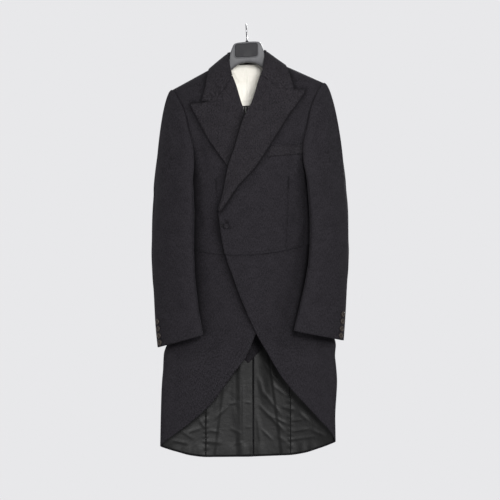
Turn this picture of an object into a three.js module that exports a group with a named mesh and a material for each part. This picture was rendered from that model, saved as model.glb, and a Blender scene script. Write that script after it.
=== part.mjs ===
// A morning coat of dark wool on a moulded hanger: cutaway fronts that cross at the waist, peaked lapels,
// two-piece sleeves, skirts that meet the tails at side pleats, and a centre vent between the tails.
// Millimetres, +Z up, the front towards -Y, +X the wearer's left. The origin is the underside of the hook,
// where a rail carries it. Every piece of cloth is a wall laid on one torso form or one sleeve form. The forms
// are worked out for a coat that hangs square, and hang() then gives them the lean of the real one.
import * as THREE from 'three';

// Cloth and seams
const CLOTH = 2;
const SATIN = 1;
const SEAM = 0.3;
const SEAM_ANGLE = 0.1;
const WAIST_GAP = 0.25;
const UNDER = 0.6;
const YOKE_SEAT = 0.9;
const YOKE_EASE = 2;
const TAIL_EASE = 1;

// Shoulders and torso: the neck point, the end of the shoulder seam and the roundness over the ridge
const NECK_X = 60;
const NECK_Z = -92;
const BACK_NECK_Z = -94;
const SHOULDER_X = 195;
const SHOULDER_Z = -160;
const SHOULDER_ROUND = 100;
const FLATNESS = 0.4;
const TORSO = [
  { z: -60, half: 202, front: 88, back: 76 },
  { z: -160, half: 202, front: 88, back: 76 },
  { z: -250, half: 198, front: 90, back: 76 },
  { z: -320, half: 191, front: 88, back: 76 },
  { z: -400, half: 178, front: 84, back: 74 },
  { z: -460, half: 168.5, front: 80, back: 70 },
  { z: -600, half: 165, front: 70, back: 62 },
  { z: -700, half: 174, front: 64, back: 56 },
  { z: -800, half: 196, front: 58, back: 50 },
  { z: -850, half: 216, front: 54, back: 47 },
  { z: -950, half: 226, front: 49, back: 43 },
  { z: -1130, half: 230, front: 40, back: 36 },
];

// How the coat leans: its middle drifts from the hook, and the wearer's left side hangs higher
const HANG = [
  { z: 5, shift: 0, tilt: 0.07 },
  { z: -45, shift: 2.5, tilt: 0.068 },
  { z: -100, shift: 3, tilt: 0.052 },
  { z: -170, shift: 5, tilt: 0.046 },
  { z: -850, shift: 5, tilt: 0.04 },
  { z: -1140, shift: 5, tilt: 0.023 },
];

// The free edge of each front, from the neck down the roll line and the cutaway to the corner at the side
const EDGE = [
  { z: -92, left: 60, right: 60 },
  { z: -98, left: 56.5, right: 57.5 },
  { z: -115, left: 46, right: 49 },
  { z: -135, left: 35, right: 40 },
  { z: -207, left: 10.4, right: 18.2 },
  { z: -241, left: -7.8, right: 7.8 },
  { z: -325, left: -33.8, right: -17.7 },
  { z: -371, left: -49.4, right: -31.6 },
  { z: -443, left: -63.2, right: -53.5 },
  { z: -488, left: -75.4, right: -67 },
  { z: -532, left: -75.4, right: -76 },
  { z: -576, left: -63, right: -77 },
  { z: -608, left: -55.4, right: -75 },
  { z: -652, left: -39.5, right: -69 },
  { z: -708, left: -19.5, right: -56 },
  { z: -756, left: 0, right: -41 },
  { z: -806, left: 22.4, right: -20 },
  { z: -857, left: 51, right: 1 },
  { z: -914, left: 84, right: 43 },
  { z: -957, left: 117, right: 74 },
  { z: -994, left: 150, right: 106 },
  { z: -1031, left: 183.6, right: 149 },
  { z: -1068, left: 216.6, right: 200 },
  { z: -1090, left: 229, right: 229 },
];

// The armhole on the torso, from the shoulder (0) down the front to the underarm (12) and up the back (24)
const ARMHOLE = [
  { k: 0, angle: 78, z: -160 },
  { k: 1, angle: 71.5, z: -163.5 },
  { k: 2, angle: 65, z: -180 },
  { k: 3, angle: 58, z: -205 },
  { k: 4, angle: 53.5, z: -236 },
  { k: 6, angle: 51, z: -302 },
  { k: 7, angle: 54, z: -336 },
  { k: 8, angle: 62, z: -366 },
  { k: 10, angle: 76, z: -393 },
  { k: 12, angle: 90, z: -400 },
  { k: 14, angle: 106, z: -388 },
  { k: 16, angle: 124, z: -350 },
  { k: 18, angle: 128, z: -292 },
  { k: 20, angle: 123, z: -234 },
  { k: 22, angle: 112, z: -182 },
  { k: 23, angle: 106.5, z: -165 },
  { k: 24, angle: 102, z: -160 },
];
const FRONT_NOTCH = 8;
const BACK_NOTCH = 16;
const LOOP = 24;

// Heights of the rows: down the front edge, the side seam, the centre back and the back seam
const FRONT_ROWS = [-92, -96, -107, -120, -135, -170, -207, -241, -290, -345, -400, -448, -488, -540];
const FRONT_COLUMNS = [0, 0.06, 0.13, 0.21, 0.3, 0.4, 0.52, 0.64, 0.76, 0.88, 1];
const SIDE_ROWS = [-402, -440, -482, -524, -556];
const BACK_ROWS = [-94, -98, -107, -124, -148, -180, -215, -255, -300, -345, -390, -434, -476, -518, -560];
const BACK_SEAM_ROWS = [-392, -434, -476, -518, -560];
const SIDE_ANGLE = 62;
const BACK_EDGE = [
  { z: -350, x: 154 },
  { z: -400, x: 124 },
  { z: -450, x: 97 },
  { z: -500, x: 74 },
  { z: -550, x: 57 },
  { z: -598, x: 47 },
  { z: -700, x: 56 },
  { z: -850, x: 73 },
  { z: -1000, x: 93 },
  { z: -1130, x: 110 },
];

// Waist seam, hem, pleats and vent
const WAIST_Z = -600;
const WAIST_RISE = 22;
const HEM = [
  { angle: 80, z: -1090 },
  { angle: 105, z: -1098 },
  { angle: 126, z: -1111 },
  { angle: 140, z: -1122 },
  { angle: 152, z: -1127 },
  { angle: 180, z: -1129 },
];
const TAIL_ROWS = [-598, -640, -666, -740, -820, -900, -985, -1060, -1129];
const SKIRT_ROWS = 12;
const SKIRT_COLUMNS = 13;
const PLEAT_UNDERLAP = 16;
const PLEAT_DEPTH = 3.1;
const PLEAT_FADE = 12;
const VENT_TOP = -640;
const VENT_LAP = { left: 10, right: 14 };
const VENT_DEPTH = 2.8;

// The left front lies over the right one and its lapel
const OVERLAP_LIFT = 8.5;
const OVERLAP_FADE = 60;

// Lapels: where each row starts on the roll line and ends on the outer edge, and how far it dips at the notch
const LAPEL = {
  left: [
    { roll: -136, x: 147, z: -178.5, dip: 21 },
    { roll: -147, x: 145, z: -187, dip: 11 },
    { roll: -166, x: 133.5, z: -202.5, dip: 3 },
    { roll: -188, x: 121.9, z: -218.8, dip: 0 },
    { roll: -222, x: 100, z: -248.2, dip: 0 },
    { roll: -262, x: 78, z: -283.6, dip: 0 },
    { roll: -300, x: 58, z: -314, dip: 0 },
    { roll: -338, x: 38, z: -344, dip: 0 },
    { roll: -375, x: 14, z: -378, dip: 0 },
    { roll: -415, x: -23.4, z: -416.7, dip: 0 },
    { roll: -450, x: -47.3, z: -452, dip: 0 },
    { roll: -481, x: -69, z: -484, dip: 0 },
  ],
  right: [
    { roll: -136, x: 147.2, z: -200.8, dip: 39 },
    { roll: -150, x: 147, z: -207, dip: 22 },
    { roll: -170, x: 141, z: -220, dip: 7 },
    { roll: -194, x: 133.9, z: -232.5, dip: 0 },
    { roll: -232, x: 117.3, z: -266.6, dip: 0 },
    { roll: -272, x: 97.2, z: -302.3, dip: 0 },
    { roll: -312, x: 74.1, z: -336.4, dip: 0 },
    { roll: -350, x: 52, z: -367.3, dip: 0 },
    { roll: -388, x: 28, z: -401, dip: 0 },
    { roll: -422, x: 0, z: -432, dip: 0 },
    { roll: -452, x: -32, z: -462, dip: 0 },
    { roll: -479, x: -61, z: -483, dip: 0 },
  ],
};
const LAPEL_COLUMNS = [0, 0.15, 0.29, 0.43, 0.62, 0.81, 1];
const LAPEL_NOTCH = 0.43;
const LAPEL_SEAT = 2.95;
const LAPEL_ROLL = 2.6;

// Collar: its fold line round the neck, and its outer edge given by x and y on the shoulders. Row 0 is the
// centre back and rows 1 and -1 are the ends at the left and the right lapel.
const COLLAR = [
  { u: -1, x: -40.5, y: -80, z: -132, outX: -120.6, outY: -69.5, dip: 32 },
  { u: -0.9, x: -45, y: -59, z: -112, outX: -112, outY: -63.5, dip: 4 },
  { u: -0.78, x: -48, y: -38, z: -93, outX: -105, outY: -51, dip: 0 },
  { u: -0.65, x: -50.5, y: -18, z: -79, outX: -101, outY: -30, dip: 0 },
  { u: -0.52, x: -50.5, y: 0, z: -71, outX: -97, outY: 0, dip: 0 },
  { u: -0.4, x: -45, y: 17, z: -68, outX: -84, outY: 27, dip: 0 },
  { u: -0.2, x: -27, y: 34, z: -65.5, outX: -48, outY: 46, dip: 0 },
  { u: 0, x: 0, y: 41, z: -64, outX: 0, outY: 58, dip: 0 },
  { u: 0.2, x: 27, y: 34, z: -65.5, outX: 48, outY: 46, dip: 0 },
  { u: 0.4, x: 45, y: 17, z: -68, outX: 84, outY: 27, dip: 0 },
  { u: 0.52, x: 49.5, y: 0, z: -71, outX: 97, outY: 0, dip: 0 },
  { u: 0.65, x: 49, y: -18, z: -79, outX: 102.5, outY: -30, dip: 0 },
  { u: 0.78, x: 46, y: -38, z: -93, outX: 109, outY: -50, dip: 0 },
  { u: 0.9, x: 42, y: -58, z: -112, outX: 116, outY: -60, dip: 3 },
  { u: 1, x: 35, y: -80, z: -133, outX: 119.3, outY: -64.5, dip: 16 },
];
const COLLAR_COLUMNS = [0, 0.06, 0.2, 0.4, 0.58, 0.79, 1];
const COLLAR_NOTCH = 0.58;
const COLLAR_STATIONS = 26;
const COLLAR_SEAT = 4.4;
const COLLAR_BULGE = 2.5;
const COLLAR_ROLL = 6;
const NECK_SEAM = [
  { u: 0, x: 0, z: -94 },
  { u: 0.2, x: 26, z: -93.6 },
  { u: 0.4, x: 47, z: -92.8 },
  { u: 0.52, x: 60, z: -92 },
  { u: 0.65, x: 57.3, z: -97 },
  { u: 0.78, x: 51.5, z: -106 },
  { u: 0.9, x: 44.5, z: -117.6 },
  { u: 1, x: 36, z: -133 },
];
const STAND_REACH = 0.87;
const STAND_INSIDE = 3.4;
const STAND_UNDER = 3.1;
const STAND_FOOT = 1.2;
const STAND_STATIONS = 24;
const STAND_ROWS = 3;

// Sleeves: rings below the crown by height, with the two silhouette edges seen from the front, the half
// thickness, the turn of the flat tube seen from above, and how far forward it hangs
const SLEEVE = [
  { z: -430, inner: 150, outer: 253, thick: 26.5, turn: 50, y: -29 },
  { z: -500, inner: 150, outer: 255.8, thick: 27, turn: 47, y: -31 },
  { z: -570, inner: 149, outer: 256.6, thick: 26.5, turn: 45, y: -38 },
  { z: -640, inner: 144.8, outer: 255, thick: 26, turn: 42, y: -46 },
  { z: -700, inner: 137, outer: 252, thick: 25, turn: 39, y: -53 },
  { z: -760, inner: 128, outer: 248.2, thick: 24, turn: 35, y: -61 },
  { z: -816, inner: 117, outer: 242, thick: 23, turn: 31, y: -69 },
];
const CROWN_END = -430;
const CUFF_Z = -816;
const CUFF_SLANT = 0.24;
const CUFF_SLANT_FROM = -690;
const SLEEVE_DRIFT = { full: 5, from: -400, over: 120 };
const SLEEVE_PLACE = [
  { k: 0, place: 48, lead: 20, hang: 130 },
  { k: 3, place: 95, lead: 16, hang: 95 },
  { k: 6, place: 150, lead: 14, hang: 55 },
  { k: 8, place: 185, lead: 10, hang: 24 },
  { k: 12, place: 262, lead: 5, hang: 9 },
  { k: 17, place: 368, lead: 13, hang: 45 },
  { k: 20, place: 385, lead: 17, hang: 85 },
  { k: 24, place: 408, lead: 20, hang: 130 },
];
const ELBOW_SEAM = 17;
const CROWN_ROWS = [0, 0.12, 0.27, 0.45, 0.65, 0.84];
const RING_ROWS = 8;
const SLEEVE_GAP = 0.45;

// Linings where they show, the stay over the vent, the breast welt and the buttons
const YOKE = { half: 70, top: -92, bottom: -207 };
const LOWER_YOKE = { top: -207.5, bottom: -262 };
const SKIRT_LINING_TOP = -775;
const LINING_HEM = 8;
const LINING_SIDE_ANGLE = 110;
const STAY = { top: -806, point: -883, x: 1, half: 42, slope: 0.96 };
const WELT = { x: 59, out: 148, z: -321, rise: 4, tall: 27, slant: 9, wall: 1.6, seat: 0.7 };
const BUTTON = { radius: 7.5, thick: 3.2, sides: 14 };
const BUTTON_PROFILE = [
  { r: 0, h: 0 },
  { r: 0.86, h: 0 },
  { r: 1, h: 0.5 },
  { r: 0.9, h: 1 },
  { r: 0.68, h: 0.8 },
  { r: 0, h: 0.7 },
];
const FRONT_BUTTON = { x: -54.6, z: -522 };
const WAIST_BUTTON_Z = -589;
const CUFF_BUTTONS = [-757, -773, -789.5, -806];
const CUFF_BUTTON_K = -0.7;

// Hanger: sections across it by x, its plate, ferrule and hook
const HANGER = [
  { x: 0, top: -47, bottom: -98, half: 14, square: 0.3 },
  { x: 20, top: -47, bottom: -100.5, half: 14, square: 0.3 },
  { x: 33, top: -47.3, bottom: -105, half: 14, square: 0.3 },
  { x: 36.5, top: -49.5, bottom: -106.5, half: 14, square: 0.32 },
  { x: 40, top: -57, bottom: -108.5, half: 14, square: 0.36 },
  { x: 44, top: -71, bottom: -111, half: 14, square: 0.45 },
  { x: 49, top: -92, bottom: -114, half: 13, square: 0.7 },
  { x: 60, top: -95.4, bottom: -119.5, half: 12, square: 0.95 },
  { x: 90, top: -110.4, bottom: -139, half: 14, square: 1 },
  { x: 130, top: -130.6, bottom: -163, half: 15, square: 1 },
  { x: 165, top: -149.4, bottom: -184, half: 15, square: 1 },
  { x: 186, top: -161.5, bottom: -195, half: 12, square: 1 },
  { x: 189, top: -166, bottom: -190, half: 8, square: 1 },
];
const HANGER_SECTIONS = [0, 12, 24, 33, 36.5, 40, 44, 49, 55, 64, 80, 105, 130, 155, 175, 186, 189];
const HANGER_SIDES = 16;
const HANGER_FORWARD = -1.5;
const PLATE = { half: 32, top: -48.5, bottom: -87.5, thick: 1.4, corner: 10 };
const FERRULE = { low: 5.2, high: 3.4, tall: 6, sides: 20 };
const WIRE = 1.7;
const HOOK_RADIUS = 17;
const HOOK_SIDES = 10;
const HOOK_STEPS = 34;

const RADIANS = Math.PI / 180;
const wool = new THREE.MeshStandardMaterial({ color: 0x2b292d, roughness: 0.92, metalness: 0 });
const satin = new THREE.MeshStandardMaterial({ color: 0x1d1d1e, roughness: 0.45, metalness: 0 });
const cream = new THREE.MeshStandardMaterial({ color: 0xe6e1d4, roughness: 0.5, metalness: 0 });
const horn = new THREE.MeshStandardMaterial({ color: 0x1a1614, roughness: 0.35, metalness: 0 });
const plastic = new THREE.MeshStandardMaterial({ color: 0x747476, roughness: 0.5, metalness: 0 });
const plateGrey = new THREE.MeshStandardMaterial({ color: 0x3e3d42, roughness: 0.4, metalness: 0 });
const steel = new THREE.MeshStandardMaterial({ color: 0x8d8d90, roughness: 0.3, metalness: 1 });
const SIDES = [{ name: 'left', sign: 1 }, { name: 'right', sign: -1 }];
const coat = new THREE.Group();

const clamp = (value, low, high) => Math.min(high, Math.max(low, value));
const mix = (a, b, t) => a + (b - a) * t;
const smooth = (t) => clamp(t, 0, 1) ** 2 * (3 - 2 * clamp(t, 0, 1));
const tent = (t, peak) => Math.min(t / peak, (1 - t) / (1 - peak));
const range = (count) => Array.from({ length: count }, (_, i) => i);
const steps = (count) => range(count).map((i) => i / (count - 1));

// Reads a table by one of its columns: a smooth curve through the rows that never overshoots them
function reader(table, by) {
  const rows = [...table].sort((a, b) => a[by] - b[by]);
  const last = rows.length - 1;
  const names = Object.keys(rows[0]).filter((name) => name !== by);
  const gaps = range(last).map((i) => rows[i + 1][by] - rows[i][by]);
  const slopes = {};
  for (const name of names) {
    const rises = gaps.map((gap, i) => (rows[i + 1][name] - rows[i][name]) / gap);
    slopes[name] = rows.map((row, i) => {
      const before = rises[Math.max(i - 1, 0)];
      const after = rises[Math.min(i, last - 1)];
      return before * after > 0 ? (2 * before * after) / (before + after) : 0;
    });
  }
  return (at) => {
    const value = clamp(at, rows[0][by], rows[last][by]);
    let i = 0;
    while (i < last - 1 && value > rows[i + 1][by]) i += 1;
    const t = (value - rows[i][by]) / gaps[i];
    const result = {};
    for (const name of names) {
      const a = rows[i][name];
      const b = rows[i + 1][name];
      const bend = slopes[name][i] * (1 - t) ** 2 * t - slopes[name][i + 1] * t * t * (1 - t);
      result[name] = mix(a, b, t * t * (3 - 2 * t)) + bend * gaps[i];
    }
    return result;
  };
}

const torso = reader(TORSO, 'z');
const lean = reader(HANG, 'z');
const edge = reader(EDGE, 'z');
const armhole = reader(ARMHOLE, 'k');
const backEdge = reader(BACK_EDGE, 'z');
const hem = reader(HEM, 'angle');
const fold = reader(COLLAR, 'u');
const neckSeam = reader(NECK_SEAM, 'u');
const ring = reader(SLEEVE, 'z');
const place = reader(SLEEVE_PLACE, 'k');
const hanger = reader(HANGER, 'x');

// Moves a point of the square coat to where it hangs. The sleeves swing a little to the wearer's left.
function hang(point, sign, swings = false) {
  const row = lean(point.z);
  const x = sign * point.x;
  const swing = swings ? SLEEVE_DRIFT.full * smooth((SLEEVE_DRIFT.from - point.z) / SLEEVE_DRIFT.over) : 0;
  return new THREE.Vector3(x + row.shift + swing, point.y, point.z + row.tilt * x);
}

// The torso: flattened ellipses by height, rounded off over the shoulder ridge
function shoulderLine(x) {
  const slope = (SHOULDER_Z - NECK_Z) / (SHOULDER_X - NECK_X);
  if (Math.abs(x) < NECK_X) return NECK_Z + (slope * (x * x - NECK_X ** 2)) / (2 * NECK_X);
  return NECK_Z + (Math.abs(x) - NECK_X) * slope;
}

function roundness(x, z) {
  const drop = clamp((shoulderLine(x) - z) / SHOULDER_ROUND, 0, 1);
  return Math.sqrt(1 - (1 - drop) ** 2);
}

const share = (x, half) => Math.max(0, 1 - (x / half) ** 2) ** FLATNESS;

function onTorso(x, z, face) {
  const row = torso(z);
  const depth = face < 0 ? row.front : row.back;
  const round = roundness(x, z);
  const y = depth * share(x, row.half) * round + (SEAM / 2) * (1 - round);
  return new THREE.Vector3(x, face * y, z);
}

function around(angle, z) {
  const x = torso(z).half * Math.sin(angle * RADIANS);
  return onTorso(x, z, Math.cos(angle * RADIANS) >= 0 ? -1 : 1);
}

function angleAt(x, z, face) {
  const front = Math.asin(clamp(x / torso(z).half, -1, 1)) / RADIANS;
  return face < 0 ? front : 180 - front;
}

// The way out of the torso at a point, as the gradient of the form's equation
function outward(point) {
  const field = (x, y, z) => {
    const row = torso(z);
    const depth = y < 0 ? row.front : row.back;
    const centre = shoulderLine(x) - SHOULDER_ROUND;
    if (z > centre) {
      const wide = depth * share(x, row.half);
      return (y / wide) ** 2 + ((z - centre) / SHOULDER_ROUND) ** 2;
    }
    return (x / row.half) ** 2 + (Math.abs(y) / depth) ** (1 / FLATNESS);
  };
  const h = 0.01;
  const { x, y, z } = point;
  return new THREE.Vector3(
    field(x + h, y, z) - field(x - h, y, z),
    field(x, y + h, z) - field(x, y - h, z),
    field(x, y, z + h) - field(x, y, z - h),
  ).normalize();
}

const raised = (point, lift) => point.clone().addScaledVector(outward(point), lift);

// The height of the left front over the torso, where the right front and its lapel lie under it
function frontLift(point, sign) {
  if (sign < 0 || point.y > 0) return 0;
  const under = -edge(point.z).right;
  return OVERLAP_LIFT * smooth((under + OVERLAP_FADE - point.x) / OVERLAP_FADE);
}

const waistLine = (x) => WAIST_Z + WAIST_RISE * (x / torso(WAIST_Z).half) ** 2;

// Joins an outer and an inner grid into one closed wall with its faces pointing out
function wall(outer, inner) {
  const rows = outer.length;
  const columns = outer[0].length;
  const points = [...outer.flat(), ...inner.flat()];
  const a = (i, j) => i * columns + j;
  const b = (i, j) => rows * columns + a(i, j);
  const triangles = [];
  const quad = (p, q, r, s) => triangles.push([p, q, r], [p, r, s]);
  for (const i of range(rows - 1)) {
    for (const j of range(columns - 1)) {
      quad(a(i, j), a(i + 1, j), a(i + 1, j + 1), a(i, j + 1));
      quad(b(i, j), b(i, j + 1), b(i + 1, j + 1), b(i + 1, j));
    }
    quad(a(i, 0), b(i, 0), b(i + 1, 0), a(i + 1, 0));
    quad(a(i, columns - 1), a(i + 1, columns - 1), b(i + 1, columns - 1), b(i, columns - 1));
  }
  for (const j of range(columns - 1)) {
    quad(a(0, j), a(0, j + 1), b(0, j + 1), b(0, j));
    quad(a(rows - 1, j), b(rows - 1, j), b(rows - 1, j + 1), a(rows - 1, j + 1));
  }
  return { points, triangles };
}

// Adds a named solid, turning its triangles where the mirrored side has them inside out
function add(name, material, solid, sign = 1, swings = false) {
  const points = solid.points.map((point) => hang(point, sign, swings));
  const volume = solid.triangles.reduce((sum, [p, q, r]) => {
    return sum + points[p].dot(points[q].clone().cross(points[r]));
  }, 0);
  const order = volume > 0 ? [0, 1, 2] : [0, 2, 1];
  const geometry = new THREE.BufferGeometry();
  geometry.setAttribute('position', new THREE.Float32BufferAttribute(points.flatMap((p) => p.toArray()), 3));
  geometry.setIndex(solid.triangles.flatMap((triangle) => order.map((i) => triangle[i])));
  geometry.computeVertexNormals();
  const mesh = new THREE.Mesh(geometry, material);
  mesh.name = name;
  coat.add(mesh);
}

// A wall on the torso: its outer face lies lift(point) over the form and its inner face one thickness under
function onForm(grid, lift, thickness) {
  const outer = grid.map((row) => row.map((point) => raised(point, lift(point))));
  const inner = grid.map((row) => row.map((point) => raised(point, lift(point) - thickness)));
  return wall(outer, inner);
}

// Foreparts: from the shoulder seam, the roll line and the front edge to the armhole and the side seam
function forepartGrid(name) {
  const sideTop = range(FRONT_NOTCH + 1).map((k) => armhole(k));
  const sideWaist = { angle: SIDE_ANGLE, z: waistLine(around(SIDE_ANGLE, WAIST_Z).x) };
  const sides = [...sideTop, ...SIDE_ROWS.map((z) => ({ angle: SIDE_ANGLE, z })), sideWaist];
  return sides.map((side, i) => {
    const waist = i === sides.length - 1;
    const startZ = waist ? WAIST_Z + 4 : FRONT_ROWS[i];
    const start = edge(startZ)[name];
    const seam = i >= FRONT_NOTCH ? SEAM_ANGLE : 0;
    const end = around(side.angle - seam, side.z);
    return FRONT_COLUMNS.map((t) => {
      const x = mix(start, end.x, t);
      const z = waist ? waistLine(x) + WAIST_GAP : mix(startZ, side.z, t);
      return onTorso(x, z, -1);
    });
  });
}

// Side bodies: under the arm, between the foreparts and the curved back seams
function sideGrid() {
  const last = SIDE_ROWS.length + 1;
  const backWaist = waistLine(backEdge(WAIST_Z).x);
  const frontRows = [armhole(FRONT_NOTCH).z, ...SIDE_ROWS, waistLine(around(SIDE_ANGLE, WAIST_Z).x)];
  const backRows = [armhole(BACK_NOTCH).z, ...BACK_SEAM_ROWS, backWaist];
  const columns = range(BACK_NOTCH - FRONT_NOTCH + 1);
  const corner = (k, t) => mix(armhole(FRONT_NOTCH)[k], armhole(BACK_NOTCH)[k], t);
  return range(last + 1).map((i) => {
    const endAngle = i === 0 ? armhole(BACK_NOTCH).angle : angleAt(backEdge(backRows[i]).x, backRows[i], 1);
    return columns.map((j) => {
      const t = j / (columns.length - 1);
      const fade = (1 - i / last) ** 2;
      const scye = armhole(FRONT_NOTCH + j);
      const straight = mix(SIDE_ANGLE + SEAM_ANGLE, endAngle - SEAM_ANGLE, t);
      const angle = straight + (scye.angle - corner('angle', t)) * fade;
      const z = mix(frontRows[i], backRows[i], t) + (scye.z - corner('z', t)) * fade;
      if (i < last) return around(angle, z);
      return around(angle, waistLine(torso(z).half * Math.sin(angle * RADIANS)) + WAIST_GAP);
    });
  });
}

// Backs: from the neck and shoulder to the hem, with the vent laps below the waist
function neckLine(x) {
  return x < NECK_X ? mix(BACK_NECK_Z, NECK_Z, (x / NECK_X) ** 2) : shoulderLine(x);
}

function backLift(point, sign) {
  if (sign > 0) return 0;
  return -VENT_DEPTH * smooth((point.x - 34) / -16) * smooth((VENT_TOP + 40 - point.z) / 40);
}

function backGrid(name) {
  const columns = [0, 0.1, 0.2, NECK_X / SHOULDER_X, 0.47, 0.65, 0.83, 1];
  const ends = [
    ...range(BACK_NOTCH - FRONT_NOTCH + 1).map((i) => armhole(LOOP - i)),
    ...BACK_SEAM_ROWS.map((z) => ({ angle: angleAt(backEdge(z).x, z, 1), z })),
    ...TAIL_ROWS.map((z) => ({ angle: angleAt(backEdge(z).x, z, 1), z })),
  ];
  const centres = [...BACK_ROWS.slice(0, ends.length - TAIL_ROWS.length), ...TAIL_ROWS];
  const last = ends.length - 1;
  return ends.map((end, i) => {
    const lap = VENT_LAP[name] * smooth((VENT_TOP - centres[i]) / 24);
    const start = SEAM / 2 - lap;
    const seam = i > BACK_NOTCH - FRONT_NOTCH ? SEAM_ANGLE : 0;
    const endX = around(end.angle + seam, end.z).x;
    return columns.map((t) => {
      const x = mix(start, endX, t);
      const top = neckLine(mix(0, SHOULDER_X, t)) - mix(BACK_NECK_Z, SHOULDER_Z, t);
      const z = mix(centres[i], end.z, t) + top * clamp(1 - i / 9, 0, 1);
      const low = i === last ? hem(angleAt(Math.abs(x), z, 1)).z : z;
      return onTorso(x, low, 1);
    });
  });
}

// Skirts: from the waist seam and the cutaway edge round the side, then under the edge of the tail
function skirtLift(point, sign) {
  if (point.y < 0) return frontLift(point, sign);
  const inside = backEdge(point.z).x + 6 - point.x;
  return -PLEAT_DEPTH * smooth(1 + inside / PLEAT_FADE);
}

function skirtGrid(name) {
  const corner = EDGE[EDGE.length - 1].z;
  return steps(SKIRT_ROWS + 1).map((t) => {
    const frontZ = mix(WAIST_Z, corner, t);
    const backZ = mix(WAIST_Z, hem(152).z, t);
    const start = angleAt(edge(frontZ)[name], frontZ, -1);
    const pleat = (reach) => angleAt(backEdge(backZ).x + reach, backZ, 1);
    const angles = steps(SKIRT_COLUMNS).map((u) => mix(start, pleat(PLEAT_FADE + 7), u));
    angles.push(pleat(6), pleat(-PLEAT_UNDERLAP));
    return angles.map((angle) => {
      const u = (angle - start) / (pleat(-PLEAT_UNDERLAP) - start);
      const x = torso(frontZ).half * Math.sin(angle * RADIANS);
      const hemDip = hem(angle).z - mix(corner, hem(152).z, u);
      const z = mix(frontZ, backZ, u) + hemDip * t ** 3;
      return around(angle, t === 0 ? waistLine(x) - WAIST_GAP : z);
    });
  });
}

// Lapels: each row runs from the roll line to the outer edge, the first one along the gorge and the peak
function lapelGrid(name) {
  return LAPEL[name].map((row) => {
    const start = edge(row.roll)[name];
    return LAPEL_COLUMNS.map((t) => {
      const z = mix(row.roll, row.z, t) - row.dip * tent(t, LAPEL_NOTCH);
      return onTorso(mix(start, row.x, t), z, -1);
    });
  });
}

function lapelSolid(name, sign) {
  const grid = lapelGrid(name);
  const face = (under) => grid.map((row) => row.map((point, j) => {
    const t = LAPEL_COLUMNS[j];
    const roll = LAPEL_ROLL * smooth(t / 0.29) * (1 - 0.7 * smooth((t - 0.43) / 0.57));
    return raised(point, frontLift(point, sign) + LAPEL_SEAT + roll - under);
  }));
  return wall(face(0), face(CLOTH));
}

// Collar: a fall from the fold line to its edge on the shoulders, over a stand that rises from the neck seam
function shoulderPoint(x, y) {
  const row = torso(SHOULDER_Z);
  const wide = (y < 0 ? row.front : row.back) * share(x, row.half);
  const centre = shoulderLine(x) - SHOULDER_ROUND;
  return new THREE.Vector3(x, y, centre + SHOULDER_ROUND * Math.sqrt(Math.max(0, 1 - (y / wide) ** 2)));
}

function clearOfTorso(point, lift) {
  const row = torso(point.z);
  const wide = (point.y < 0 ? row.front : row.back) * share(point.x, row.half);
  const centre = shoulderLine(point.x) - SHOULDER_ROUND;
  const rise = Math.max(0, point.z - centre);
  const reach = Math.hypot(point.y / wide, rise / SHOULDER_ROUND);
  const need = 1 + lift / mix(wide, SHOULDER_ROUND, clamp(rise / SHOULDER_ROUND, 0, 1));
  if (reach >= need || Math.abs(point.x) < NECK_X - 28) return point;
  const grow = need / reach;
  return new THREE.Vector3(point.x, point.y * grow, rise > 0 ? centre + rise * grow : point.z);
}

function fallPoint(u, w) {
  const row = fold(u);
  const start = new THREE.Vector3(row.x, row.y, row.z);
  const out = shoulderPoint(row.outX, row.outY);
  const end = raised(out, COLLAR_SEAT);
  const point = start.lerp(end, w);
  point.addScaledVector(outward(out), COLLAR_BULGE * Math.sin(Math.PI * w));
  const away = new THREE.Vector3(row.x, row.y, 0).normalize();
  point.addScaledVector(away, COLLAR_ROLL * smooth(w / 0.15) * (1 - w));
  point.z -= row.dip * tent(w, COLLAR_NOTCH);
  return clearOfTorso(point, COLLAR_SEAT);
}

// A wall on a surface of two parameters, its thickness taken along the surface's own normal
function onSurface(surface, across, down, thickness) {
  const h = 0.004;
  const normal = (s, t) => {
    const along = surface(s + h, t).sub(surface(s - h, t));
    return surface(s, t + h).sub(surface(s, t - h)).cross(along).normalize();
  };
  const outer = down.map((t) => across.map((s) => surface(s, t)));
  const inner = down.map((t, i) => across.map((s, j) => {
    return outer[i][j].clone().addScaledVector(normal(s, t), thickness);
  }));
  return wall(outer, inner);
}

function standPoint(u, w) {
  const seam = neckSeam(Math.abs(u));
  const face = Math.abs(u) > 0.52 ? -1 : 1;
  const low = onTorso(seam.x, seam.z, face);
  low.x *= Math.sign(u) || 1;
  const row = fold(u);
  const high = new THREE.Vector3(row.x, row.y, row.z);
  high.addScaledVector(new THREE.Vector3(row.x, row.y, 0).normalize(), -STAND_INSIDE);
  const way = high.clone().sub(low);
  const length = way.length();
  way.normalize();
  return low.addScaledVector(way, mix(STAND_FOOT, length - CLOTH - STAND_UNDER, w));
}

// Sleeves: a crown of Bezier curves from the armhole to the first ring, then rings to the slanting cuff
function ringPoint(k, z) {
  const row = ring(z);
  const turn = row.turn * RADIANS;
  const angle = place((k + LOOP) % LOOP).place * RADIANS;
  const half = (row.outer - row.inner) / 2;
  const long = Math.sqrt(half ** 2 - (row.thick * Math.sin(turn)) ** 2) / Math.cos(turn);
  const a = long * Math.cos(angle);
  const b = row.thick * Math.sin(angle);
  const x = a * Math.cos(turn) + b * Math.sin(turn);
  const slant = CUFF_SLANT * smooth((CUFF_SLANT_FROM - z) / (CUFF_SLANT_FROM - CUFF_Z));
  const y = row.y + a * Math.sin(turn) - b * Math.cos(turn);
  return new THREE.Vector3((row.outer + row.inner) / 2 + x, y, z - slant * x);
}

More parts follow.
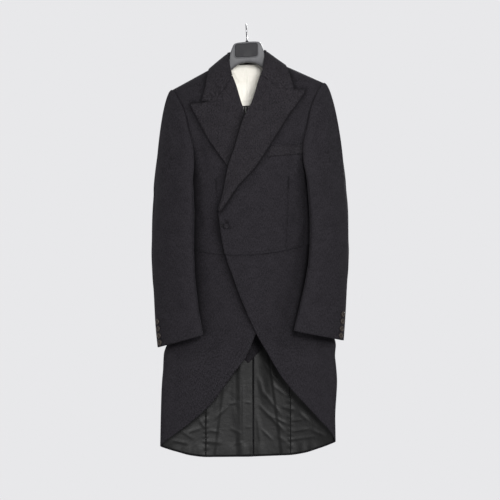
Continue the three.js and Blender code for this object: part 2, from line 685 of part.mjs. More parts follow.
function sleevePoint(k, s) {
  if (s >= 1) return ringPoint(k, mix(CROWN_END, CUFF_Z, s - 1));
  const scye = armhole((k + LOOP) % LOOP);
  const start = around(scye.angle, scye.z);
  const row = place((k + LOOP) % LOOP);
  const away = new THREE.Vector3(0.9, (0.6 * (start.y + 2)) / 55, (0.4 * (start.z + 285)) / 120).normalize();
  start.addScaledVector(away, SLEEVE_GAP);
  const end = ringPoint(k, CROWN_END);
  const lead = start.clone().addScaledVector(away, row.lead);
  const rise = end.clone().add(new THREE.Vector3(0, 0, row.hang));
  const curve = new THREE.CubicBezierCurve3(start, lead, rise, end);
  return curve.getPoint(Math.max(s, 0));
}

// The yoke lining hangs just under the wool at the neck and a little looser below
function yokeLift(point) {
  const below = neckLine(Math.abs(point.x)) - 5 - point.z;
  return -CLOTH - YOKE_SEAT - YOKE_EASE * smooth(below / 25);
}

function yokeGrid(half, top, bottom, rows) {
  return steps(rows).map((t) => steps(13).map((u) => {
    const x = mix(-half, half, u);
    const upper = Math.min(top, neckLine(Math.abs(x)) - 5);
    return onTorso(x, mix(upper, bottom, t), 1);
  }));
}

function tailLiningGrid(name) {
  const start = name === 'left' ? VENT_LAP.right + 4 : -VENT_LAP.right + 3;
  return steps(8).map((t) => [0, 0.12, 0.25, 0.4, 0.6, 0.8, 1].map((u) => {
    const z = mix(SKIRT_LINING_TOP, hem(175).z + LINING_HEM, t);
    const x = mix(start, backEdge(z).x - PLEAT_UNDERLAP - 3, u);
    return onTorso(x, z, 1);
  }));
}

function skirtLiningGrid() {
  return steps(8).map((t) => steps(9).map((u) => {
    const low = mix(SKIRT_LINING_TOP, hem(152).z + LINING_HEM, t);
    const end = angleAt(backEdge(low).x - PLEAT_UNDERLAP + 2, low, 1);
    const angle = mix(LINING_SIDE_ANGLE, end, u);
    const z = mix(SKIRT_LINING_TOP, hem(angle).z + LINING_HEM, t);
    return around(angle, z);
  }));
}

// The pointed wool stay that covers the top of the vent on the inside
function staySolid() {
  const under = () => -VENT_DEPTH - CLOTH - 2 * UNDER - TAIL_EASE - SATIN;
  const grid = steps(6).map((t) => steps(6).map((u) => {
    const z = mix(STAY.top, STAY.point, t);
    const half = Math.min(STAY.half, 1.5 + (z - STAY.point) * STAY.slope);
    return onTorso(mix(STAY.x - half, STAY.x + half, u), z, 1);
  }));
  return onForm(grid, under, 1.6);
}

function weltGrid() {
  return steps(3).map((t) => steps(9).map((u) => {
    const x = mix(WELT.x - WELT.slant * t, WELT.out, u);
    return onTorso(x, WELT.z + WELT.rise * u - WELT.tall * t, -1);
  }));
}

function sleeveOut(k, s) {
  const h = 0.01;
  const along = sleevePoint(k + h, s).sub(sleevePoint(k - h, s));
  return along.cross(sleevePoint(k, s + h).sub(sleevePoint(k, s - h))).normalize();
}

// A dished button whose back is seated on a surface point
function button(name, seat, way, sign, swings, material) {
  const { radius, thick, sides } = BUTTON;
  const profile = BUTTON_PROFILE.map((row) => new THREE.Vector2(row.r * radius, row.h * thick));
  const mesh = new THREE.Mesh(new THREE.LatheGeometry(profile, sides), material);
  const out = new THREE.Vector3(sign * way.x, way.y, way.z);
  mesh.quaternion.setFromUnitVectors(new THREE.Vector3(0, 1, 0), out);
  mesh.position.copy(hang(seat, sign, swings)).addScaledVector(out, SEAM + 0.1);
  mesh.name = name;
  coat.add(mesh);
}

for (const { name, sign } of SIDES) {
  const front = (point) => frontLift(point, sign);
  const back = (point) => backLift(point, sign);
  const skirt = (point) => skirtLift(point, sign);
  const tailUnder = (point) => back(point) - CLOTH - UNDER - TAIL_EASE * smooth((SKIRT_LINING_TOP - point.z) / 60);
  add(`forepart_${name}`, wool, onForm(forepartGrid(name), front, CLOTH), sign);
  add(`side_body_${name}`, wool, onForm(sideGrid(), () => 0, CLOTH), sign);
  add(`back_${name}`, wool, onForm(backGrid(name), back, CLOTH), sign);
  add(`skirt_${name}`, wool, onForm(skirtGrid(name), skirt, CLOTH), sign);
  add(`lapel_${name}`, wool, lapelSolid(name, sign), sign);
  add(`tail_lining_${name}`, satin, onForm(tailLiningGrid(name), tailUnder, SATIN), sign);
  add(`skirt_lining_${name}`, satin, onForm(skirtLiningGrid(), () => -PLEAT_DEPTH - CLOTH - UNDER, SATIN), sign);

  const topColumns = range(LOOP - ELBOW_SEAM + FRONT_NOTCH + 1).map((j) => j - (LOOP - ELBOW_SEAM));
  const underColumns = range(ELBOW_SEAM - FRONT_NOTCH + 1).map((j) => j + FRONT_NOTCH);
  const down = [...CROWN_ROWS, ...steps(RING_ROWS).map((t) => 1 + t)];
  const trim = (columns) => columns.map((k, j) => k + (j === 0 ? 0.01 : 0) - (j === columns.length - 1 ? 0.01 : 0));
  add(`top_sleeve_${name}`, wool, onSurface(sleevePoint, trim(topColumns), down, CLOTH), sign, true);
  add(`under_sleeve_${name}`, wool, onSurface(sleevePoint, trim(underColumns), down, CLOTH), sign, true);

  CUFF_BUTTONS.forEach((z, i) => {
    const s = 1 + (z - CROWN_END) / (CUFF_Z - CROWN_END);
    const seat = sleevePoint(CUFF_BUTTON_K, s);
    button(`cuff_button_${name}_${i + 1}`, seat, sleeveOut(CUFF_BUTTON_K, s), sign, true, horn);
  });
  const waistButton = onTorso(backEdge(WAIST_BUTTON_Z).x, WAIST_BUTTON_Z, 1);
  button(`waist_button_${name}`, waistButton, outward(waistButton), sign, false, wool);
}

add('collar', wool, onSurface(fallPoint, steps(COLLAR_STATIONS).map((t) => 2 * t - 1), COLLAR_COLUMNS, CLOTH));
const standAcross = steps(STAND_STATIONS).map((t) => mix(-STAND_REACH, STAND_REACH, t));
add('collar_stand', wool, onSurface(standPoint, standAcross, steps(STAND_ROWS + 1), -CLOTH));
add('yoke_lining', cream, onForm(yokeGrid(YOKE.half, YOKE.top, YOKE.bottom, 8), yokeLift, SATIN));
add('back_lining', satin, onForm(yokeGrid(YOKE.half, LOWER_YOKE.top, LOWER_YOKE.bottom, 3), yokeLift, SATIN));
add('vent_stay', wool, staySolid());
add('breast_welt', wool, onForm(weltGrid(), (point) => frontLift(point, 1) + WELT.wall + WELT.seat, WELT.wall));

const frontButton = onTorso(FRONT_BUTTON.x, FRONT_BUTTON.z, -1);
button('front_button', raised(frontButton, frontLift(frontButton, 1)), outward(frontButton), 1, false, wool);

// Hanger: rounded sections from one end to the other, closed at both ends
function loft(rings) {
  const sides = rings[0].length;
  const centre = (loop) => loop.reduce((sum, p) => sum.add(p), new THREE.Vector3()).divideScalar(sides);
  const points = [...rings.flat(), centre(rings[0]), centre(rings[rings.length - 1])];
  const triangles = [];
  const at = (i, j) => i * sides + (j % sides);
  for (const i of range(rings.length - 1)) {
    for (const j of range(sides)) {
      triangles.push([at(i, j), at(i + 1, j), at(i + 1, j + 1)], [at(i, j), at(i + 1, j + 1), at(i, j + 1)]);
    }
  }
  const end = rings.length - 1;
  for (const j of range(sides)) {
    triangles.push([points.length - 2, at(0, j), at(0, j + 1)]);
    triangles.push([points.length - 1, at(end, j + 1), at(end, j)]);
  }
  return { points, triangles };
}

function hangerRing(x) {
  const row = hanger(Math.abs(x));
  const middle = (row.top + row.bottom) / 2;
  const tall = (row.top - row.bottom) / 2;
  const squared = (value) => Math.sign(value) * Math.abs(value) ** row.square;
  return range(HANGER_SIDES).map((j) => {
    const angle = (2 * Math.PI * (j + 0.5)) / HANGER_SIDES;
    const y = HANGER_FORWARD + row.half * squared(Math.cos(angle));
    return new THREE.Vector3(x, y, middle + tall * squared(Math.sin(angle)));
  });
}

const hangerAcross = [...HANGER_SECTIONS.slice(1).map((x) => -x).reverse(), ...HANGER_SECTIONS];
add('hanger_body', plastic, loft(hangerAcross.map(hangerRing)));

// The plate on the neck block is left blank: a thin panel with rounded lower corners
const plateAcross = steps(11).map((t) => mix(-PLATE.half, PLATE.half, t) - 2);
const plateFace = (y) => steps(5).map((t) => plateAcross.map((x) => {
  const side = Math.max(0, Math.abs(x + 2) - (PLATE.half - PLATE.corner)) / PLATE.corner;
  const low = PLATE.bottom + PLATE.corner * (1 - Math.sqrt(1 - Math.min(side, 1) ** 2));
  return new THREE.Vector3(x, y, mix(PLATE.top, low, t));
}));
const plateBack = HANGER_FORWARD - HANGER[0].half - SEAM;
add('hanger_plate', plateGrey, wall(plateFace(plateBack - PLATE.thick), plateFace(plateBack)));

// Ferrule and hook: the wire rises from the ferrule and turns over the rail in a plane across the hanger
const ferruleProfile = [[0, 0], [FERRULE.low, 0], [FERRULE.high, FERRULE.tall], [0, FERRULE.tall]];
const ferrule = new THREE.LatheGeometry(ferruleProfile.map(([r, h]) => new THREE.Vector2(r, h)), FERRULE.sides);
const ferruleMesh = new THREE.Mesh(ferrule, steel);
ferruleMesh.rotation.x = Math.PI / 2;
ferruleMesh.position.copy(hang(new THREE.Vector3(0, HANGER_FORWARD, HANGER[0].top + SEAM), 1));
ferruleMesh.name = 'hook_ferrule';
coat.add(ferruleMesh);

const turnRadius = HOOK_RADIUS + WIRE;
const turn = [-42, -20, 5, 30, 60, 90, 120, 150, 178, 200].map((angle) => {
  const y = turnRadius * Math.cos(angle * RADIANS);
  return new THREE.Vector3(0, y, turnRadius * Math.sin(angle * RADIANS) - HOOK_RADIUS);
});
const neck = [HANGER[0].top + FERRULE.tall + 2 * SEAM + 0.4, -37, -34];
const rise = neck.map((z, i) => new THREE.Vector3(0, HANGER_FORWARD + [0, 1, 5.5][i], z));
const route = new THREE.CatmullRomCurve3([...rise, ...turn].map((point) => hang(point, 1)));
const section = new THREE.Shape();
section.absarc(0, 0, WIRE, 0, 2 * Math.PI);
const hookOptions = { steps: HOOK_STEPS, extrudePath: route, curveSegments: HOOK_SIDES / 2, bevelEnabled: false };
const hook = new THREE.Mesh(new THREE.ExtrudeGeometry(section, hookOptions), steel);
hook.name = 'hook';
coat.add(hook);

export default coat;
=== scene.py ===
"""A morning coat of charcoal wool on a moulded hanger.

Sizes are in millimetres in the tables and are turned into metres when a mesh is made. +X is the wearer's
left and the front faces -Y. Every piece of cloth is a thin shell on the torso form or on the sleeve form,
and its creases are soft troughs and ridges added to one relief, so that layers that lie on each other move
together.
"""
import math

import bpy
import numpy as np
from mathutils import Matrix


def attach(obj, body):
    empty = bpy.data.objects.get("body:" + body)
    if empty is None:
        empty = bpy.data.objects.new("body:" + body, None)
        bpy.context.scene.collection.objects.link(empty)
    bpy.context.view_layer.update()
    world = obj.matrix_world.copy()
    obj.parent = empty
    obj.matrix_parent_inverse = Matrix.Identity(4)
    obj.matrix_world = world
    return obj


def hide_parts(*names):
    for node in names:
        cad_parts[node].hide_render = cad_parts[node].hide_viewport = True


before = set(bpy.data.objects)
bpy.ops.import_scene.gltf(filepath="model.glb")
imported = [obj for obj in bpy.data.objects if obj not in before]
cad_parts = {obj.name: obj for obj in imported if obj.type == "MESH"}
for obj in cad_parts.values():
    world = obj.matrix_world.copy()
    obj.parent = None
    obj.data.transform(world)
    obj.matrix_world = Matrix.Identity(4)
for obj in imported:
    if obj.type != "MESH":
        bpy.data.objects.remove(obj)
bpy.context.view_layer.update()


def table(columns, *rows):
    """Named columns from rows, sorted by the first column."""
    data = np.array(sorted(rows), float)
    return {name: data[:, i] for i, name in enumerate(columns.split())}


def read(rows, at):
    """Every column at a value of the first one: cubic pieces through the rows. The slope at a row is the
    harmonic mean of the slopes on its two sides, and 0 where they turn, so the curve never overshoots."""
    key, *names = rows
    keys = rows[key]
    at = np.clip(np.asarray(at, float), keys[0], keys[-1])
    i = np.clip(np.searchsorted(keys, at, side="right") - 1, 0, len(keys) - 2)
    gap = keys[i + 1] - keys[i]
    t = (at - keys[i]) / gap
    result = {}
    for name in names:
        v = rows[name]
        rise = np.diff(v) / np.diff(keys)
        before = np.concatenate([rise[:1], rise])
        after = np.concatenate([rise, rise[-1:]])
        same = before * after > 0
        slope = np.where(same, 2 * before * after / np.where(same, before + after, 1), 0)
        bend = slope[i] * (1 - t) ** 2 * t - slope[i + 1] * t * t * (1 - t)
        result[name] = v[i] + (v[i + 1] - v[i]) * t * t * (3 - 2 * t) + bend * gap
    return result


# Cloth: thicknesses, gaps at seams and between layers, and how a border sinks, turns in and gets painted
# shade
WOOL = 1.7
SATIN = 0.8
SEAM = 0.3
SEAM_ANGLE = 0.1
WAIST_GAP = 0.06
WALL = 2.0
LINING_WALL = 1.0
UNDER = 0.6
YOKE_SEAT = 0.9
YOKE_EASE = 2.0
TAIL_EASE = 1.0
SEAM_SINK, SINK_REACH = 0.2, 1.8
TURNING, TURN_REACH = 2.0, 3
RIM_BULGE = 0.12
BORDER_SHADE = 0.25
PATTERN_RADIUS = 190

# Shade of an edge on the cloth under it: strength and width of its line and of the soft shade beside that
EDGE_LINE, LINE_WIDTH = 0.75, 2.6
EDGE_SHADE, SHADE_WIDTH = 0.5, 9
BUTTON_SHADE, BUTTON_SHADE_WIDTH = 0.8, 2.2
SLEEVE_CLOSENESS = {"left": 0.8, "right": 0.6}
FRONT_CLOSENESS, FRONTS_PART_Z = 0.6, -800

# Torso form
NECK_X, NECK_Z, BACK_NECK_Z = 60, -92, -94
SHOULDER_X, SHOULDER_Z, SHOULDER_ROUND = 195, -160, 100
FLATNESS = 0.4
TORSO = table(
    "z half front back",
    (-60, 202, 88, 76), (-160, 202, 88, 76), (-250, 198, 90, 76), (-320, 191, 88, 76),
    (-400, 178, 84, 74), (-460, 168.5, 80, 70), (-600, 165, 70, 62), (-700, 174, 64, 56),
    (-800, 196, 58, 50), (-850, 216, 54, 47), (-950, 226, 49, 43), (-1130, 230, 40, 36),
)
LEAN = table(
    "z shift tilt",
    (5, 0, 0.07), (-45, 2.5, 0.068), (-100, 3, 0.052), (-170, 5, 0.046), (-850, 5, 0.04),
    (-1140, 5, 0.023),
)

# Free edge of each front
EDGE = table(
    "z left right",
    (-92, 60, 60), (-98, 56.5, 57.5), (-115, 46, 49), (-135, 35, 40), (-207, 10.4, 18.2),
    (-241, -7.8, 7.8), (-325, -33.8, -17.7), (-371, -49.4, -31.6), (-443, -63.2, -53.5),
    (-488, -75.4, -67), (-532, -75.4, -76), (-576, -63, -77), (-608, -55.4, -75), (-652, -39.5, -69),
    (-708, -19.5, -56), (-756, 0, -41), (-806, 22.4, -20), (-857, 51, 1), (-914, 84, 43), (-957, 117, 74),
    (-994, 150, 106), (-1031, 183.6, 149), (-1068, 216.6, 200), (-1090, 229, 229),
)
CORNER_Z = -1090

# Armhole from the shoulder (0) down the front to the underarm (12) and up the back (24)
ARMHOLE = table(
    "k angle z",
    (0, 78, -160), (1, 71.5, -163.5), (2, 65, -180), (3, 58, -205), (4, 53.5, -236), (6, 51, -302),
    (7, 54, -336), (8, 62, -366), (10, 76, -393), (12, 90, -400), (14, 106, -388), (16, 124, -350),
    (18, 128, -292), (20, 123, -234), (22, 112, -182), (23, 106.5, -165), (24, 102, -160),
)
FRONT_NOTCH, BACK_NOTCH, LOOP = 8, 16, 24
FRONT_NOTCH_Z, BACK_NOTCH_Z, BACK_NOTCH_ANGLE = -366, -350, 124
FRONT_ROWS = [-92, -96, -107, -120, -135, -170, -207, -241, -290, -345, -400, -448, -488, -540]
SIDE_ROWS = [-402, -440, -482, -524, -556]
BACK_ROWS = [-94, -98, -107, -124, -148, -180, -215, -255, -300, -345, -390, -434, -476, -518]
BACK_SEAM_ROWS = [-392, -434, -476, -518, -560]
TAIL_ROWS = [-598, -640, -666, -740, -820, -900, -985, -1060, -1129]
SIDE_ANGLE, SIDE_SEAM_FOOT, BACK_SEAM_FOOT = 62, -583, -597
BACK_EDGE = table(
    "z x",
    (-350, 154), (-400, 124), (-450, 97), (-500, 74), (-550, 57), (-598, 47), (-700, 56), (-850, 73),
    (-1000, 93), (-1130, 110),
)
WAIST_Z, WAIST_RISE, WAIST_HALF = -600, 22, 165
HEM = table("angle z", (80, -1090), (105, -1098), (126, -1111), (140, -1122), (152, -1127), (180, -1129))
SKIRT_BACK_Z = -1127
PLEAT_UNDERLAP, PLEAT_DEPTH, PLEAT_FADE = 16, 3.1, 12
VENT_TOP, VENT_DEPTH = -640, 2.8
VENT_LAP = {"left": 10, "right": 14}
OVERLAP_LIFT, OVERLAP_FADE = 8.5, 60
DART = {"left": (105, 97), "right": (82, 74)}
DART_TOP, DART_TALL = -415, 165

# Lapels, a row for each line from the roll to the outer edge
LAPEL_COLUMNS = "i roll x z dip"
LAPEL = {
    "left": table(
        LAPEL_COLUMNS,
        (0, -136, 147, -178.5, 21), (1, -147, 145, -187, 11), (2, -166, 133.5, -202.5, 3),
        (3, -188, 121.9, -218.8, 0), (4, -222, 100, -248.2, 0), (5, -262, 78, -283.6, 0),
        (6, -300, 58, -314, 0), (7, -338, 38, -344, 0), (8, -375, 14, -378, 0),
        (9, -415, -23.4, -416.7, 0), (10, -450, -47.3, -452, 0), (11, -481, -69, -484, 0),
    ),
    "right": table(
        LAPEL_COLUMNS,
        (0, -136, 147.2, -200.8, 39), (1, -150, 147, -207, 22), (2, -170, 141, -220, 7),
        (3, -194, 133.9, -232.5, 0), (4, -232, 117.3, -266.6, 0), (5, -272, 97.2, -302.3, 0),
        (6, -312, 74.1, -336.4, 0), (7, -350, 52, -367.3, 0), (8, -388, 28, -401, 0),
        (9, -422, 0, -432, 0), (10, -452, -32, -462, 0), (11, -479, -61, -483, 0),
    ),
}
LAPEL_NOTCH, LAPEL_SEAT, LAPEL_ROLL = 0.43, 2.95, 2.6
LAPEL_SINK, LAPEL_SINK_REACH = 0.15, 1.6
LAPEL_FOLD = {"columns": 11, "middle": -0.55, "tall": 3.5, "reach": 2.0}

# Collar: fold line and outer edge, from the right lapel (-1) over the centre back (0) to the left one (1)
COLLAR = table(
    "u x y z outX outY dip",
    (-1, -40.5, -80, -132, -120.6, -69.5, 32), (-0.9, -45, -59, -112, -112, -63.5, 4),
    (-0.78, -48, -38, -93, -105, -51, 0), (-0.65, -50.5, -18, -79, -101, -30, 0),
    (-0.52, -50.5, 0, -71, -97, 0, 0), (-0.4, -45, 17, -68, -84, 27, 0),
    (-0.2, -27, 34, -65.5, -48, 46, 0), (0, 0, 41, -64, 0, 58, 0), (0.2, 27, 34, -65.5, 48, 46, 0),
    (0.4, 45, 17, -68, 84, 27, 0), (0.52, 49.5, 0, -71, 97, 0, 0), (0.65, 49, -18, -79, 102.5, -30, 0),
    (0.78, 46, -38, -93, 109, -50, 0), (0.9, 42, -58, -112, 116, -60, 3),
    (1, 35, -80, -133, 119.3, -64.5, 16),
)
COLLAR_NOTCH, COLLAR_SEAT, COLLAR_BULGE, COLLAR_ROLL = 0.58, 3.6, 0.3, 2
NECK_POINT, FALL_START, ARC_RADIUS = 0.52, 0.03, 3.1
NECK_SEAM = table(
    "u x z",
    (0, 0, -94), (0.2, 26, -93.6), (0.4, 47, -92.8), (0.52, 60, -92), (0.65, 57.3, -97),
    (0.78, 51.5, -106), (0.9, 44.5, -117.6), (1, 36, -133),
)
STAND_REACH, STAND_INSIDE, STAND_UNDER, STAND_FOOT = 0.87, 3.4, 3.1, 1.2

# Sleeves
SLEEVE = table(
    "z inner outer thick turn y",
    (-430, 150, 253, 26.5, 50, -29), (-500, 150, 255.8, 27, 47, -31), (-570, 149, 256.6, 26.5, 45, -38),
    (-640, 144.8, 255, 26, 42, -46), (-700, 137, 252, 25, 39, -53), (-760, 128, 248.2, 24, 35, -61),
    (-816, 117, 242, 23, 31, -69),
)
CROWN_END, CUFF_Z, CUFF_SLANT, CUFF_SLANT_FROM = -430, -816, 0.24, -690
DRIFT_FULL, DRIFT_FROM, DRIFT_OVER = 5, -400, 120
PLACE = table(
    "k place lead hang",
    (0, 48, 20, 130), (3, 95, 16, 95), (6, 150, 14, 55), (8, 185, 10, 24), (12, 262, 5, 9),
    (17, 368, 13, 45), (20, 385, 17, 85), (24, 408, 20, 130),
)
ELBOW_SEAM = 17
SLEEVE_GAP, CUFF_LAP = 0.45, 0.7
SIDES = {"left": 1, "right": -1}
SLEEVE_TRIM = {
    "left": table("z inner outer", (-430, 3, 3.5), (-520, 5, 1.5), (-590, 6, 1), (-655, 3, 1), (-760, -3, 1),
                  (-816, -4, 2.5)),
    "right": table("z inner outer", (-430, -9, -5), (-520, -6, 0), (-590, -4, -1), (-655, -2, -2),
                   (-816, 3, -2)),
}
FRONT_FALL = {"k": 7.6, "width": 2.8, "inward": 13, "forward": 11}

# Linings, stay, welt, buttons
YOKE_HALF, YOKE_DROP = 70, 5
YOKE = {"top": -92, "bottom": -207}
LOWER_YOKE = {"top": -207.5, "bottom": -262}
LINING_TOP, LINING_HEM, LINING_SIDE_ANGLE, LINING_SEAM_X = -775, 3.5, 95, 111
TAIL_LINING_EDGE = {"left": 14.9, "right": -13.3}
LINING_FOLDS = [(-11.5, -224), (-5.8, -231), (1.5, -226)]
FOLD_TOP, FOLD_RADIUS = -209.5, 0.8
STAY = {"top": -806, "point": -883, "x": 1, "half": 42, "slope": 0.96, "wall": 1.4}
WELT = {"x": 59, "out": 148, "z": -321, "rise": 4, "tall": 27, "slant": 9, "wall": 1.6, "seat": 0.7}
BUTTON_RADIUS, BUTTON_THICK, BUTTON_SEAT, HOLE_PLACE = 7.5, 3.2, 0.4, 1.35
FRONT_BUTTON = (-54.6, -522)
WAIST_BUTTON_Z = -589
CUFF_BUTTONS = [-757, -773, -789.5, -806]
CUFF_BUTTON_K = -0.7

# Hanger
HANGER = table(
    "x top bottom half square",
    (0, -43.5, -97.5, 14, 0.3), (20, -44.2, -101, 14, 0.3), (31, -46, -107, 14, 0.3),
    (35, -49, -110, 14, 0.32), (39, -57, -113.5, 14, 0.36), (44, -71, -116.5, 14, 0.45),
    (49, -92, -118, 13, 0.7), (60, -95.4, -119.5, 12, 0.95), (90, -110.4, -139, 14, 1),
    (130, -130.6, -163, 15, 1), (165, -149.4, -184, 15, 1), (186, -161.5, -195, 12, 1),
    (189, -166, -190, 8, 1),
)
HANGER_FORWARD = -1.5
PLATE = {"half": 32, "top": -46, "bottom": -86, "corner": 9, "x": -2, "rim": 2.4}

# Creases of the body: from (a1, z1) to (a2, z2), where a is the angle round the torso in degrees, 0 at the
# front, 90 at the wearer's left side and 180 at the back. Depth above 0 is a ridge and below 0 a trough.
BODY_CREASES = table(
    "a1 z1 a2 z2 depth width",
    # beside the armholes and over the chest
    (44, -225, 38, -400, -2.2, 11), (49, -250, 44, -430, 1.8, 12), (-43, -232, -37, -385, -2.5, 12),
    (-50, -262, -43, -440, 1.7, 13), (47, -178, 50, -250, -1.6, 15), (-46, -180, -49, -258, -1.4, 14),
    # drawn from the button towards the waist
    (-14, -520, 30, -478, -1.2, 8), (-10, -530, 36, -548, -1.0, 9), (-6, -512, 20, -500, 0.8, 9),
    (-25, -520, -52, -490, -1.3, 8), (-24, -530, -50, -560, -1.0, 9), (58, -455, 40, -540, -1.5, 11),
    (66, -480, 52, -575, 1.3, 12), (-60, -450, -42, -535, -1.7, 12), (-70, -490, -55, -580, 1.2, 11),
    # long soft flutes of the skirts
    (18, -640, 22, -930, 1.8, 20), (36, -650, 38, -1010, -2.2, 17), (55, -640, 55, -1040, 2.0, 15),
    (70, -660, 72, -1080, -1.8, 14), (-24, -650, -25, -880, -1.8, 18), (-44, -640, -42, -960, 2.2, 18),
    (-60, -650, -58, -1040, -2.0, 16), (-74, -660, -76, -1080, 1.6, 13), (88, -700, 88, -1040, 8, 38),
    (88, -740, 88, -880, 9, 38), (-88, -730, -88, -900, 4, 34),
    # back: blades, armholes, the small of the back
    (172, -170, 165, -330, -1.3, 16), (-170, -160, -168, -350, -1.5, 15), (150, -190, 147, -420, 1.6, 16),
    (-150, -200, -146, -400, 1.8, 15), (133, -250, 141, -430, -2.2, 11),
    (-131, -240, -140, -440, -2.4, 12), (160, -505, 195, -512, -1.5, 11), (155, -545, 210, -540, 1.1, 12),
    (115, -430, 128, -560, -1.4, 12), (-112, -440, -126, -570, -1.6, 12),
    # tails and the backs of the skirts
    (174, -690, 172, -1090, 1.4, 11), (-173, -700, -171, -1080, -1.2, 10),
    (166, -720, 164, -1060, -1.5, 10), (140, -650, 142, -1080, -2.2, 15),
    (-138, -640, -141, -1090, 2.2, 14), (122, -660, 124, -1080, 2.2, 16),
    (-120, -650, -123, -1060, -2.0, 16), (104, -660, 104, -1070, -1.8, 15),
    (-103, -640, -104, -1060, 1.8, 16),
)
DEGREE, CREASE_FADE = 3.1, 0.35

# Creases of the sleeves: k runs round from the shoulder line over the front, and z down the arm. The
# crown's rows count as if it were 220 tall.
CROWN_TALL, STEP_K = 220, 13
SLEEVE_CREASES = {
    "left": table(
        "k1 z1 k2 z2 depth width",
        (3.4, -225, 3.5, -570, 2.4, 5), (1.2, -240, 1.4, -520, -2.0, 14),
        (-1.6, -250, -1.2, -520, -1.4, 13), (7.4, -300, 5.4, -400, -2.4, 9),
        (6.2, -360, 4.0, -455, 1.7, 10), (8.6, -545, 4.2, -592, -2.2, 9), (8.4, -585, 3.6, -622, 1.6, 9),
        (9.4, -620, 5.4, -662, -1.9, 9), (13.5, -480, 16.5, -560, -2.0, 11),
        (12.0, -570, 16.0, -610, 2.0, 11), (-6.0, -330, -4.0, -470, -2.2, 13),
        (-5.2, -560, -3.4, -690, 1.5, 14), (2.6, -640, 3.4, -770, -1.3, 14),
        (11.0, -640, 13.5, -760, -1.6, 13), (-3.2, -270, -3.4, -340, 1.2, 10),
    ),
    "right": table(
        "k1 z1 k2 z2 depth width",
        (1.8, -240, 2.2, -500, 1.7, 12), (4.0, -250, 4.4, -400, -1.9, 11),
        (-0.8, -260, -0.4, -540, -1.9, 14), (7.2, -310, 5.0, -420, -2.1, 10),
        (6.6, -380, 4.6, -470, 1.4, 9), (8.8, -520, 4.8, -574, -1.8, 9), (8.2, -570, 3.2, -612, -1.7, 8),
        (9.2, -604, 4.6, -640, 1.5, 9), (13.0, -470, 16.0, -540, -1.8, 12),
        (12.4, -560, 16.2, -618, 1.9, 11), (-6.2, -320, -4.4, -460, -2.0, 12),
        (-5.0, -540, -3.6, -700, 1.7, 13), (3.0, -650, 3.8, -780, -1.5, 13),
        (10.6, -650, 13.0, -770, -1.4, 12), (-2.8, -280, -3.1, -350, 1.1, 9),
    ),
}

# Wrinkles of the satin inside the skirts and of the yoke lining, all towards the inside, from (x1, z1) to
# (x2, z2)
SKIRT_WRINKLES = table(
    "x1 z1 x2 z2 depth width",
    (20, -985, 108, -1076, 1.7, 4), (50, -1018, 112, -1050, 1.6, 3), (32, -950, 96, -1032, 1.2, 4),
    (28, -1050, 70, -1092, 1.1, 3), (24, -905, 44, -985, 1.3, 6), (36, -880, 78, -930, 1.0, 4),
    (44, -900, 96, -950, 0.9, 3), (60, -940, 104, -975, 1.0, 3), (84, -1000, 128, -1010, 1.3, 3),
    (96, -1040, 150, -1034, 1.6, 3), (100, -1068, 168, -1058, 1.8, 3), (104, -1088, 186, -1078, 1.4, 3),
    (130, -1012, 164, -1044, 1.3, 4), (160, -1060, 212, -1082, 1.5, 4), (70, -1072, 108, -1096, 1.2, 4),
    (-96, -1034, -40, -984, 1.4, 3), (-60, -990, -18, -985, 1.0, 3), (-118, -1083, -62, -1092, 2.0, 5),
    (-108, -1055, -70, -1064, 1.4, 3), (-90, -1010, -70, -940, 1.2, 5), (-64, -960, -36, -905, 1.2, 5),
    (-132, -1020, -104, -1062, 1.5, 4), (-164, -1062, -118, -1048, 1.4, 3),
    (-206, -1078, -150, -1092, 1.6, 4), (-180, -1052, -138, -1082, 1.3, 4),
    (-50, -1050, -14, -1070, 1.2, 4), (-40, -1096, -12, -1090, 1.2, 3), (-12, -905, -12, -1112, 1.1, 1.7),
    (-11, -985, 12, -989, 0.9, 2), (-11, -1050, 12, -1052, 0.9, 2), (-70, -900, -40, -850, 1.4, 6),
    (70, -905, 52, -850, 1.2, 6), (-150, -1000, -120, -940, 1.8, 8), (150, -1000, 118, -930, 1.8, 8),
    (24, -1010, 34, -1110, 1.2, 5), (-34, -985, -30, -1080, 1.0, 6),
)
YOKE_WRINKLES = table(
    "x1 z1 x2 z2 depth width",
    (-1, -100, -1, -208, 1.6, 1.8), (-42, -100, -22, -146, 3.6, 4), (-36, -126, -24, -168, 2.4, 3.4),
    (36, -106, 24, -160, 3.8, 4), (30, -120, 14, -190, 2.6, 4), (-18, -118, -10, -196, 1.4, 6),
    (16, -150, 6, -204, 1.4, 5), (-34, -176, -12, -208, 1.6, 5), (28, -172, 12, -206, 1.8, 5),
    (-30, -194, 26, -190, 1.0, 3), (-11, -204, -11.3, -264, 3.0, 1.3), (-3.4, -206, -3.6, -264, 2.6, 1.1),
    (18, -214, 14, -262, 1.4, 4), (-24, -214, -20, -262, 1.4, 4),
)


def smooth(t):
    """0 below 0 and 1 above 1, with an S between them: 3 t squared less 2 t cubed."""
    t = np.clip(t, 0, 1)
    return t * t * (3 - 2 * t)


def mix(a, b, t):
    """a at t = 0 and b at t = 1, in a straight line."""
    return a + (b - a) * t


def tent(t, peak):
    """Up in a line to 1 at the peak and down in a line to 0 at t = 1."""
    return np.minimum(t / peak, (1 - t) / (1 - peak))


def bell(gap, width):
    """1 at a gap of 0 and less on both sides: exp(-(gap / width) squared)."""
    return np.exp(-((gap / width) ** 2))


def unit(v):
    """A vector of length 1 along each vector."""
    return v / np.maximum(np.linalg.norm(v, axis=-1, keepdims=True), 1e-9)


def point(x, y, z):
    """Three arrays, spread to one shape, as an array of points."""
    return np.stack(np.broadcast_arrays(x, y, z), -1).astype(float)


